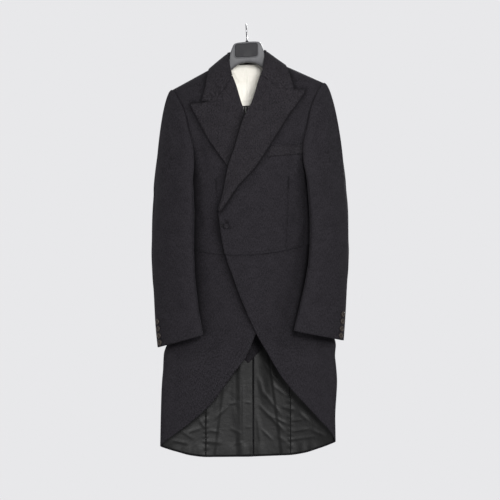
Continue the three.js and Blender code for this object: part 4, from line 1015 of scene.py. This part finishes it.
def lapel_face(name, sign, i, t):
    """The lapel at line i and at t from the roll to the outer edge: the form's point, its way out, the
    height of the front under it and its own height over that."""
    row = read(LAPEL[name], i)
    x = mix(read(EDGE, row["roll"])[name], row["x"], t)
    z = mix(row["roll"], row["z"], t) - row["dip"] * tent(t, LAPEL_NOTCH)
    base = on_torso(x, z, -1)
    relief = body_relief(base, sign) + front_lift(base, sign)
    roll = LAPEL_ROLL * smooth(t / 0.29) * (1 - 0.7 * smooth((t - LAPEL_NOTCH) / (1 - LAPEL_NOTCH)))
    return base, outward(base), relief, LAPEL_SEAT + roll


def lapel_fold(base, out, relief, less):
    """Columns of an arc round the front's edge, from its inside up to the roll line: part of an ellipse in
    the plane of the lapel's way and its way out, with both half sizes less by the given amount."""
    way = unit(base[:, :1] - base[:, 2:3])
    turn = np.radians(np.linspace(180, 12, LAPEL_FOLD["columns"]))[None, :, None]
    reach, tall = LAPEL_FOLD["reach"] - less, LAPEL_FOLD["tall"] - less
    lift = relief[:, :1, None] + LAPEL_FOLD["middle"] + np.cos(turn) * tall
    return base[:, :1] + way * np.sin(turn) * reach + out[:, :1] * lift


def lapel(name, sign):
    """Rows from the roll line to the outer edge. Before the roll line an arc wraps the front's edge, so
    that the lapel turns out of the inside in one soft fold."""
    i = np.concatenate([[0, 0.04, 0.1, 0.2], np.linspace(0.32, 10.8, 92), [10.88, 10.95, 11]])[:, None]
    t = with_rows(np.linspace(0, 1, 46), 0.01, 0.025, 0.985, 0.995, LAPEL_NOTCH).T
    base, out, relief, height = lapel_face(name, sign, i, t)
    x, z = base[..., 0], base[..., 2]
    edge = LAPEL_SINK * bell(to_border(base), LAPEL_SINK_REACH)
    outer = base + out * (relief + height - edge)[..., None]
    inner = base + out * (relief + height - WOOL)[..., None]
    outer = hang(np.concatenate([lapel_fold(base, out, relief, 0), outer], 1), sign)
    inner = hang(np.concatenate([lapel_fold(base, out, relief, WOOL), inner], 1), sign)
    fold = np.zeros((len(i), LAPEL_FOLD["columns"]))
    along = np.concatenate([fold + np.arange(-LAPEL_FOLD["columns"], 0), x - x[:, :1]], 1)
    uv = np.stack([along, np.concatenate([fold + read(LAPEL[name], i)["roll"], z], 1)], -1)
    # painted shadow of the left front's edge on the right lapel
    painted_shadows = np.concatenate([fold, under_left_front(sign, x, z)], 1)
    return shell(f"lapel_{name}", outer, inner, CANVAS_WOOL, uv, painted_shadows)


# Collar
def depth_at(x, y, z):
    """The form's depth at x and at the height z, on the side that y is on."""
    row = read(TORSO, z)
    return np.where(y < 0, row["front"], row["back"]) * share(x, row["half"])


def shoulder_point(x, y):
    """The point of the rounded shoulder over x and y: the height of an ellipse over its centre line."""
    rise = SHOULDER_ROUND * np.sqrt(np.maximum(0, 1 - (y / depth_at(x, y, SHOULDER_Z)) ** 2))
    return point(x, y, shoulder_line(x) - SHOULDER_ROUND + rise)


def clear_of_torso(p, lift):
    """Moves points that lie too near the form straight out from the shoulder's centre line."""
    x, y, z = p[..., 0], p[..., 1], p[..., 2]
    wide = depth_at(x, y, z)
    centre = shoulder_line(x) - SHOULDER_ROUND
    rise = np.maximum(0, z - centre)
    reach = np.hypot(y / wide, rise / SHOULDER_ROUND)
    need = 1 + lift / mix(wide, SHOULDER_ROUND, np.clip(rise / SHOULDER_ROUND, 0, 1))
    stays = (reach >= need) | (np.abs(x) < NECK_X - 28)
    grow = np.where(stays, 1, need / reach)
    return point(x, y * grow, np.where(stays | (rise <= 0), z, centre + rise * grow))


def fold_line(u):
    """The collar's fold at u, and the level way out from the neck there."""
    row = read(COLLAR, u)
    return point(row["x"], row["y"], row["z"]), unit(point(row["x"], row["y"], 0))


def fall_point(u, w):
    """The collar's fall: from the fold (w = 0) to the outer edge (w = 1), bulged and rolled out at the
    fold."""
    u, w = np.broadcast_arrays(u, w)
    row = read(COLLAR, u)
    start, away = fold_line(u)
    seat = shoulder_point(row["outX"], row["outY"])
    out = outward(seat)
    bulge = COLLAR_BULGE * np.sin(np.pi * w)
    roll = COLLAR_ROLL * smooth(w / 0.15) * (1 - w)
    p = mix(start, seat + out * COLLAR_SEAT, w[..., None]) + out * bulge[..., None] + away * roll[..., None]
    p[..., 2] -= row["dip"] * tent(w, COLLAR_NOTCH)
    return clear_of_torso(p, COLLAR_SEAT)


def collar_fall(u, w):
    """The fall with its ends brought to the lapels' top rows at the gorge seam: each is moved by what it
    misses there, less and less up to the shoulder."""
    fall = fall_point(u, w)
    along = np.minimum(w, COLLAR_NOTCH)
    for name, sign in SIDES.items():
        base, out, relief, height = lapel_face(name, sign, 0 * along, along * LAPEL_NOTCH / COLLAR_NOTCH)
        seam = base + out * (relief + height)[..., None]
        seam[..., 0] *= sign
        miss = seam - fall_point(sign + 0 * w, along)
        fall = fall + miss * smooth((sign * u - 0.74) / 0.26)[..., None]
    return fall


def stand_point(u, w):
    """The collar's stand: straight from the neck seam towards the inside of the fold."""
    u, w = np.broadcast_arrays(u, w)
    seam = read(NECK_SEAM, np.abs(u))
    low = on_torso(seam["x"], seam["z"], np.where(np.abs(u) > NECK_POINT, -1, 1))
    low[..., 0] *= np.where(u < 0, -1, 1)
    fold, away = fold_line(u)
    way = fold - away * STAND_INSIDE - low
    length = np.linalg.norm(way, axis=-1, keepdims=True)
    return low + way / length * mix(STAND_FOOT, length - WALL - STAND_UNDER, w[..., None])


def surface_normal(surface, s, t):
    """The cross product of the steps down and along a surface of two parameters."""
    h = 0.004
    along = surface(s + h, t) - surface(s - h, t)
    return unit(np.cross(surface(s, t + h) - surface(s, t - h), along))


def collar_arc(u, radius):
    """Rows of an arc over the fold, from inside the neck to the start of the fall: part of a circle in the
    plane of the way up and the way out."""
    fold, away = fold_line(u)
    up = -surface_normal(fall_point, u, np.full(u.shape, FALL_START))
    turn = np.radians(np.linspace(-118, -8, 12))[:, None, None]
    return fold + up * (radius * np.cos(turn) - 1.4) + away * (radius * np.sin(turn) + 0.8)


def collar():
    """The fall with a faint ripple in it, and the arc that turns over the fold into the neck."""
    u = with_rows(np.linspace(-1, 1, 150), -0.996, -0.985, 0.985, 0.996).T
    w = with_rows(np.linspace(FALL_START, 1, 30), COLLAR_NOTCH, 0.99, 0.975)
    normal = surface_normal(fall_point, u + 0 * w, w + 0 * u)
    ripple = 0.5 * np.sin(u * 9 + 1) * np.sin(np.pi * w) * (1 - u * u)
    fall = collar_fall(u, w) - normal * ripple[..., None]
    outer = hang(np.concatenate([collar_arc(u[0], ARC_RADIUS), fall]))
    inner = hang(np.concatenate([collar_arc(u[0], ARC_RADIUS - WOOL), fall + normal * WOOL]))
    down = np.concatenate([np.linspace(-9, -1, 12), w[:, 0] * 70])[:, None]
    uv = np.stack(np.broadcast_arrays(u * 190, down), -1)
    return shell("collar", outer, inner, CANVAS_WOOL, uv)


def collar_stand():
    """The stand: its surface, and the same one moved inwards by the thickness of the wool."""
    u = np.linspace(-STAND_REACH, STAND_REACH, 120)[None, :]
    w = np.linspace(0, 1, 12)[:, None]
    outer = stand_point(u, w)
    inner = outer - surface_normal(stand_point, u + 0 * w, w + 0 * u) * WOOL
    uv = np.stack(np.broadcast_arrays(u * 170, w * 28), -1)
    return shell("collar_stand", hang(outer), hang(inner), CANVAS_WOOL, uv)


# Sleeves
def ring_point(name, k, z):
    """A flat tube turned by the tabled angle: an ellipse whose outline seen from the front meets the two
    tabled edges, slanted at the cuff."""
    row = read(SLEEVE, z)
    trim = read(SLEEVE_TRIM[name], z)
    inner, outer = row["inner"] + trim["inner"], row["outer"] + trim["outer"]
    turn = np.radians(row["turn"])
    angle = np.radians(read(PLACE, np.mod(k + LOOP, LOOP))["place"])
    long = np.sqrt(((outer - inner) / 2) ** 2 - (row["thick"] * np.sin(turn)) ** 2) / np.cos(turn)
    a, b = long * np.cos(angle), row["thick"] * np.sin(angle)
    x = a * np.cos(turn) + b * np.sin(turn)
    y = a * np.sin(turn) - b * np.cos(turn)
    slant = CUFF_SLANT * smooth((CUFF_SLANT_FROM - z) / (CUFF_SLANT_FROM - CUFF_Z))
    return point((outer + inner) / 2 + x, row["y"] + y, z - slant * x)


def sleeve_point(name, k, s):
    """s from 0 to 1 is the crown, a Bezier curve from the armhole to the first ring, and from 1 to 2 the
    arm. The front of the crown falls forward over the armhole seam."""
    k, s = np.broadcast_arrays(k, s)
    round_k = np.mod(k + LOOP, LOOP)
    hole = read(ARMHOLE, round_k)
    start = around(hole["angle"], hole["z"])
    row = read(PLACE, round_k)
    away = unit(point(0.9, 0.6 * (start[..., 1] + 2) / 55, 0.4 * (start[..., 2] + 285) / 120))
    cover = bell(round_k - 7, 2.4)[..., None]
    away = unit(away + cover * np.array([-1.0, -1.1, 0]))
    start = start + outward(start) * body_relief(start, SIDES[name])[..., None] + away * SLEEVE_GAP
    end = ring_point(name, k, np.full(k.shape, float(CROWN_END)))
    lead = start + away * row["lead"][..., None]
    rise = end + point(0, 0, row["hang"])
    t = np.clip(s, 0, 1)[..., None]
    crown = (1 - t) ** 3 * start + 3 * (1 - t) ** 2 * t * lead + 3 * (1 - t) * t * t * rise + t**3 * end
    fall = bell(round_k - FRONT_FALL["k"], FRONT_FALL["width"])[..., None] * 6.75 * t * (1 - t) ** 2
    crown = crown - fall * np.array([FRONT_FALL["inward"], FRONT_FALL["forward"], 0])
    arm = ring_point(name, k, mix(float(CROWN_END), CUFF_Z, np.maximum(s - 1, 0)))
    return np.where(s[..., None] >= 1, arm, crown)


def sleeve_out(name, k, s):
    """The way out of the sleeve: the cross product of the steps round it and down."""
    h = 0.01
    along = sleeve_point(name, k + h, s) - sleeve_point(name, k - h, s)
    return unit(np.cross(along, sleeve_point(name, k, s + h) - sleeve_point(name, k, s - h)))


def sleeve_relief(name, k, s):
    """The sleeve's creases, and at the cuff the lap of its vent, whose upper layer stands a little higher."""
    z = np.where(s < 1, CROWN_END + (1 - s) * CROWN_TALL, mix(float(CROWN_END), CUFF_Z, s - 1))
    turned = np.where(k > ELBOW_SEAM, k - LOOP, k)
    total = creases(SLEEVE_CREASES[name], turned, z)
    lap = smooth((turned + 2.05) / 0.12) * smooth((5 - turned) / 3) * smooth((-712 - z) / 14)
    return total * smooth((s - 0.04) / 0.2) * smooth((CUFF_Z - 2 - z) / -30) + CUFF_LAP * lap


def sleeve_part(title, name, sign, first, last):
    """One panel of the sleeve, from one seam to the other. Its columns are closer beside the seams."""
    close = np.array([0.01, 0.06, 0.13, 0.24])
    even = np.linspace(first + 0.4, last - 0.4, int((last - first) * 3.2))
    k = np.concatenate([first + close, even, last - close[::-1]])[None, :]
    crown = [0, 0.006, 0.014, 0.026, *np.linspace(0.045, 0.98, 40)]
    s = np.concatenate([crown, np.linspace(1, 1.985, 88), [1.991, 1.996, 2]])[:, None]
    base = sleeve_point(name, k, s)
    out = sleeve_out(name, k + 0 * s, s + 0 * k)
    height = sleeve_relief(name, k, s)
    near = to_border(base)
    edge = SEAM_SINK * bell(near, SINK_REACH)
    deep = WOOL + TURNING * bell(near, TURN_REACH)
    outer = hang(base + out * (height - edge)[..., None], sign, True)
    inner = hang(base + out * (height - deep)[..., None], sign, True)
    down = np.where(s < 1, s * CROWN_TALL, CROWN_TALL + (s - 1) * (CROWN_END - CUFF_Z))
    steps = np.linalg.norm(np.diff(base, axis=1), axis=-1).mean(0)
    across = np.concatenate([[0], np.cumsum(steps)])[None, :]
    uv = np.stack(np.broadcast_arrays(across, -down), -1)
    return shell(f"{title}_{name}", outer, inner, BODY_WOOL, uv)


# Linings, stay and welt
def yoke(title, rows, finish):
    """The lining inside the neck, under the wool, wrinkled towards the inside."""
    t = np.linspace(0, 1, 60)[:, None]
    x = mix(-YOKE_HALF, YOKE_HALF, np.linspace(0, 1, 90))[None, :]
    neck = neck_line(np.abs(x)) - YOKE_DROP
    base = on_torso(x + 0 * t, mix(np.minimum(rows["top"], neck), rows["bottom"], t), 1)
    lift = -WALL - YOKE_SEAT - YOKE_EASE * smooth((neck - base[..., 2]) / 25)
    wrinkles = creases(YOKE_WRINKLES, base[..., 0], base[..., 2])
    return on_form(title, base, lift, 1, finish, SATIN, -wrinkles, 0)


def lining_folds():
    """Three fine folds of the dark lining below the cream one: thin rolls of satin coloured pale as a painted
    highlight.
    """
    rolls = []
    for x0, low in LINING_FOLDS:
        z = np.linspace(FOLD_TOP, low, 14)
        base = on_torso(x0 + 0 * z, z, 1)
        lift = -WALL - YOKE_SEAT - YOKE_EASE - SATIN - 0.5 - creases(YOKE_WRINKLES, base[..., 0], z)
        rolls.append(tube(hang(base + outward(base) * lift[:, None]), FOLD_RADIUS, 10))
    return joined("lining_folds", rolls, FOLD_HIGHLIGHT_SATIN)


def tail_lining(name, sign):
    """The lower part of the tail's satin, from the vent's edge to the seam with the skirt's, where it steps
    down to that one's depth."""
    t = np.linspace(0, 1, 120)[:, None]
    u = np.linspace(0, 1, 40)[None, :]
    z = mix(LINING_TOP, read(HEM, mix(176, 158, u))["z"] + LINING_HEM, t)
    x = mix(TAIL_LINING_EDGE[name], LINING_SEAM_X - 0.2, u)
    base = on_torso(x, z, 1)
    flat = -WALL - UNDER - TAIL_EASE * smooth((LINING_TOP - z) / 60)
    step = smooth((x - read(BACK_EDGE, z)["x"] + PLEAT_UNDERLAP + 9) / 8)
    lift = mix(back_lift(base, sign) + flat, -PLEAT_DEPTH - WALL - UNDER, step)
    wrinkles = skirt_wrinkle(x, z, sign)
    return on_form(f"tail_lining_{name}", base, lift, sign, BLACK_SATIN, SATIN, -wrinkles, 0)


def skirt_wrinkle(x, z, sign):
    """The wrinkles of the skirts' satin, none under the stay: the tabled ones, small puckers along the seam
    and waves along the hem, both of them sines."""
    clear = 1 - smooth((58 - np.abs(sign * x)) / 14) * smooth((z + 896) / 14)
    drawn = 0.55 * (1 + np.sin(z / 2.6 + 2 * np.sin(z / 17))) * bell(x - LINING_SEAM_X, 7)
    hem = 0.5 * (1 + np.sin(x / 7 + 2.4 * np.sin(x / 25) + sign)) * smooth((-1085 - z) / 25)
    return (0.75 * creases(SKIRT_WRINKLES, sign * x, z) + drawn + hem) * clear


def skirt_lining(name, sign):
    """The lower part of the skirt's satin, from the side to the seam with the tail's."""
    t = np.linspace(0, 1, 120)[:, None]
    u = np.linspace(0, 1, 60)[None, :]
    low = mix(LINING_TOP, SKIRT_BACK_Z + LINING_HEM, t)
    angle = mix(LINING_SIDE_ANGLE, angle_at(LINING_SEAM_X + 0.2, low, 1), u)
    z = mix(LINING_TOP, read(HEM, angle)["z"] + LINING_HEM, t)
    base = around(angle, z)
    lift = -PLEAT_DEPTH - WALL - UNDER
    wrinkles = skirt_wrinkle(base[..., 0], z, sign)
    return on_form(f"skirt_lining_{name}", base, lift, sign, BLACK_SATIN, SATIN, -wrinkles, 0)


def vent_stay():
    """The pointed piece of wool over the top of the vent: a row's half width grows with its height over the
    point."""
    t = np.linspace(0, 1, 50)[:, None]
    u = spread(80, 3)[None, :]
    z = mix(STAY["top"], STAY["point"], t) + 0 * u
    half = np.minimum(STAY["half"], 1.5 + (z - STAY["point"]) * STAY["slope"])
    base = on_torso(mix(STAY["x"] - half, STAY["x"] + half, u), z, 1)
    lift = -VENT_DEPTH - WALL - 2 * UNDER - TAIL_EASE - LINING_WALL
    return on_form("vent_stay", base, lift, 1, BODY_WOOL, STAY["wall"], 0, 0.4)


def breast_welt():
    """The welt of the breast pocket: a strip with slanted ends that rises a little towards the arm."""
    t = spread(27, 3)[:, None]
    u = spread(92, 3.5)[None, :]
    x = mix(WELT["x"] - WELT["slant"] * t, WELT["out"], u)
    base = on_torso(x, WELT["z"] + WELT["rise"] * u - WELT["tall"] * t, -1)
    lift = front_lift(base, 1) + WELT["wall"] + WELT["seat"]
    return on_form("breast_welt", base, lift, 1, CANVAS_WOOL, WELT["wall"] - 0.1, 0, 0.7)


for name, sign in SIDES.items():
    forepart(name, sign)
    side_body(name, sign)
    back(name, sign)
    skirt(name, sign)
    lapel(name, sign)
    tail_lining(name, sign)
    skirt_lining(name, sign)
    sleeve_part("top_sleeve", name, sign, ELBOW_SEAM - LOOP, FRONT_NOTCH)
    sleeve_part("under_sleeve", name, sign, FRONT_NOTCH, ELBOW_SEAM)
collar()
collar_stand()
yoke("yoke_lining", YOKE, CREAM_SATIN)
yoke("back_lining", LOWER_YOKE, BLACK_SATIN)
lining_folds()
vent_stay()
breast_welt()


# Buttons
def basis(way):
    """Two directions across a way, as rows, with the way last."""
    way = unit(np.asarray(way, float))
    side = unit(np.cross((0, 0, 1.0), way))
    return np.stack([side, np.cross(way, side), way])


def disc(name, seat, way, heights, finish, sides=64):
    """A closed round piece of rings. heights(r, angle) gives its outer face over the back, and the back is
    flat. The cloth is shaded towards the rim."""
    radii = np.concatenate([np.linspace(0.12, 0.9, 26), [0.94, 0.97, 0.99, 1.0]])
    angle = np.linspace(0, 2 * np.pi, sides, endpoint=False)
    r, a = np.meshgrid(np.concatenate([radii, [1, 0.88]]), angle, indexing="ij")
    high = heights(r, a)
    high[-2:] = [[BUTTON_THICK * 0.5], [0]]
    rings = point(r * BUTTON_RADIUS * np.cos(a), r * BUTTON_RADIUS * np.sin(a), high)
    poles = np.array([[0, 0, float(heights(0.0, 0.0))], [0, 0, 0]])
    points = np.concatenate([rings.reshape(-1, 3), poles])
    # painted shade, darker towards the rim of a covered button
    painted_shade = 0.8 * smooth((np.hypot(points[:, 0], points[:, 1]) / BUTTON_RADIUS - 0.72) / 0.28)
    placed = points @ basis(way) + seat
    return new_piece(name, placed, ring_faces(len(rings), sides), finish, [name], points[:, :2], painted_shade)


def horn_face(r, a):
    """A rounded rim round a dished middle with four round holes."""
    rim = BUTTON_THICK * (0.98 - 26 * np.maximum(r - 0.86, 0) ** 2)
    dish = BUTTON_THICK * (0.66 + 0.06 * (1 - r * r))
    face = mix(dish, rim, smooth((r - 0.58) / 0.16))
    x, y = r * BUTTON_RADIUS * np.cos(a), r * BUTTON_RADIUS * np.sin(a)
    near = np.hypot(np.abs(x) - HOLE_PLACE, np.abs(y) - HOLE_PLACE)
    return face - 1.5 * (1 - smooth((near - 0.55) / 0.4))


def covered_face(r, a):
    """A cloth-covered dome, drawn in a little at its rim, the same at every angle."""
    return BUTTON_THICK * (0.5 + 0.52 * np.sqrt(np.maximum(1 - (r * 0.99) ** 2, 0)))


def stitches(seat, way):
    """Two short arcs of thread that cross on a button's face, each from one hole to the one across."""
    parts = []
    for side in (1, -1):
        t = np.linspace(0, 1, 9)
        x = mix(-HOLE_PLACE, HOLE_PLACE, t)
        local = point(x, side * x, BUTTON_THICK * 0.62 + 0.75 * np.sin(np.pi * t))
        parts.append(tube(local @ basis(way) + seat, 0.32, 6))
    return parts


def place_button(title, base, lift, way, sign, swings, face, finish):
    """Makes a button on a hung point, a little over the cloth. Gives its seat and the way it faces."""
    out = np.array([sign * way[0], way[1], way[2]])
    seat = hang(base, sign, swings) + out * (BUTTON_SEAT + lift)
    disc(title, seat, out, face, finish)
    return seat, out


def cuff_buttons(name, sign):
    """Four horn buttons up the lap of the cuff's vent, sewn on with crossed thread."""
    threads = []
    k = np.array(CUFF_BUTTON_K)
    for n, z in enumerate(CUFF_BUTTONS, 1):
        s = np.array(1 + (z - CROWN_END) / (CUFF_Z - CROWN_END))
        base, way = sleeve_point(name, k, s), sleeve_out(name, k, s)
        title = f"cuff_button_{name}_{n}"
        threads += stitches(*place_button(title, base, CUFF_LAP, way, sign, True, horn_face, DARK_HORN))
    joined(f"cuff_thread_{name}", threads, BODY_WOOL)


def waist_button(name, sign):
    """A covered button at the top of the side pleat."""
    base = on_torso(read(BACK_EDGE, WAIST_BUTTON_Z)["x"], WAIST_BUTTON_Z, 1)
    place_button(f"waist_button_{name}", base, 0, outward(base), sign, False, covered_face, CANVAS_WOOL)


def front_button():
    """The covered link button at the waist, and beside it the worked end of its buttonhole: a ring of silk
    round a short slit, black for its dark thread and as painted shade in the eyelet."""
    base = on_torso(*FRONT_BUTTON, -1)
    way = outward(base)
    base = base + way * float(front_lift(base, 1) + body_relief(base, 1))
    seat, out = place_button("front_button", base, 0, way, 1, False, covered_face, CANVAS_WOOL)
    turn = np.linspace(0, 2 * np.pi, 33)
    path = point(-9.6 + 2.6 * np.cos(turn), 1.0 + 1.1 * np.sin(turn), 0)
    # black ring: the buttonhole's thread and painted shade in its eyelet
    joined("front_buttonhole", [tube(path @ basis(out) + seat, 0.6, 8)], BLACK_SATIN)


for name, sign in SIDES.items():
    cuff_buttons(name, sign)
    waist_button(name, sign)
front_button()


# Hanger
def ring_piece(name, rings, closed, finish, nodes):
    """A piece through rings of equal count, joined back to the first one, or capped at both ends by a fan."""
    points = np.concatenate(rings)
    if not closed:
        points = np.concatenate([points, rings[0].mean(0)[None], rings[-1].mean(0)[None]])
    return new_piece(name, hang(points), ring_faces(len(rings), len(rings[0]), closed), finish, nodes)


def hanger_body():
    """Sections across the hanger from one end to the other: ellipses whose sine and cosine are raised to the
    tabled power, so that a low one gives a rectangle with round corners."""
    across = np.concatenate([np.linspace(0, 60, 70), np.linspace(62, 180, 48), np.linspace(182, 189, 8)])
    x = np.concatenate([-across[:0:-1], across])[:, None]
    row = read(HANGER, np.abs(x))
    angle = 2 * np.pi * (np.arange(64) + 0.5)[None, :] / 64
    wide, high = (np.sign(v) * np.abs(v) ** row["square"] for v in (np.cos(angle), np.sin(angle)))
    middle, tall = (row["top"] + row["bottom"]) / 2, (row["top"] - row["bottom"]) / 2
    rings = point(x, HANGER_FORWARD + row["half"] * wide, middle + tall * high)
    return ring_piece("hanger_body_moulding", rings, False, GREY_PLASTIC, ["hanger_body"])


def plate_ring(inset, height):
    """The plate's outline moved in by the inset, at a height over its back: a rectangle with round corners,
    each a quarter circle of the corner's radius less the inset."""
    angle = np.linspace(0, 2 * np.pi, 96, endpoint=False) + 0.01
    radius = max(PLATE["corner"] - inset, 1.0)
    half = PLATE["half"] - inset - radius
    tall = (PLATE["top"] - PLATE["bottom"]) / 2 - inset - radius
    x = PLATE["x"] + half * np.sign(np.cos(angle)) + radius * np.cos(angle)
    z = (PLATE["top"] + PLATE["bottom"]) / 2 + tall * np.sign(np.sin(angle)) + radius * np.sin(angle)
    return point(x, HANGER_FORWARD - HANGER["half"][0] - SEAM - height, z)


def hanger_plate():
    """A dark blank plate in a raised frame of the hanger's grey plastic."""
    rim = PLATE["rim"]
    field = [(rim + 0.1, 0), (rim + 0.1, 0.7), (rim + 0.7, 1.0), (rim + 3, 0.8), (rim + 6, 0.8)]
    rings = [plate_ring(*step) for step in field]
    ring_piece("hanger_plate_field", rings, False, PLATE_PLASTIC, ["hanger_plate"])
    outside = [(0, 0), (0, 1.1), (0.3, 1.6), (1.0, 1.9)]
    inside = [(rim - 0.9, 1.9), (rim - 0.3, 1.5), (rim, 0.9), (rim, 0)]
    rings = [plate_ring(*step) for step in outside + inside]
    ring_piece("hanger_plate_frame", rings, True, GREY_PLASTIC, [])


hanger_body()
hanger_plate()
for node, finish in {"hook_ferrule": DARK_STEEL, "hook": STEEL}.items():
    bpy.data.objects[node].data.materials.clear()
    bpy.data.objects[node].data.materials.append(finish.material)


# Light and camera
def soft_light(name, place, size, power):
    """A square soft box turned to the middle of the coat."""
    lamp = bpy.data.lights.new(name, "AREA")
    lamp.size, lamp.energy = size, power
    light = bpy.data.objects.new(name, lamp)
    light.location = place
    way = np.array(MIDDLE) - np.array(place)
    flat = math.hypot(way[0], way[1])
    light.rotation_euler = (math.atan2(flat, -way[2]), 0, math.atan2(-way[0], way[1]))
    bpy.context.scene.collection.objects.link(light)


world = bpy.data.worlds.new("pale_studio")
bpy.context.scene.world = world
world.use_nodes = True
world.node_tree.nodes["Background"].inputs["Color"].default_value = (0.807, 0.807, 0.823, 1)
world.node_tree.nodes["Background"].inputs["Strength"].default_value = 1
MIDDLE = (0, 0, -0.5)
soft_light("front_soft_box", (0.6, -4.8, 0.35), 0.9, 285)
soft_light("right_soft_box", (3.6, -3.4, 1.2), 1.0, 120)
soft_light("left_soft_box", (-3.6, -3.4, 1.2), 1.0, 70)
soft_light("back_soft_box", (1.4, 5.0, 0.4), 2.0, 320)

DISTANCE, FRAME_WIDTH, SENSOR = 9.0, 1.3, 36
camera_data = bpy.data.cameras.new("photo_camera")
camera = bpy.data.objects.new("photo_camera", camera_data)
bpy.context.scene.collection.objects.link(camera)
camera.location = (0.0104, -DISTANCE - 0.04, -0.587)
camera.rotation_euler = (math.radians(90), 0, 0)
camera_data.sensor_width = SENSOR
camera_data.lens = SENSOR * DISTANCE / FRAME_WIDTH
camera_data.clip_start, camera_data.clip_end = 0.1, 100
bpy.context.scene.camera = camera
bpy.context.scene.view_settings.view_transform = "Standard"
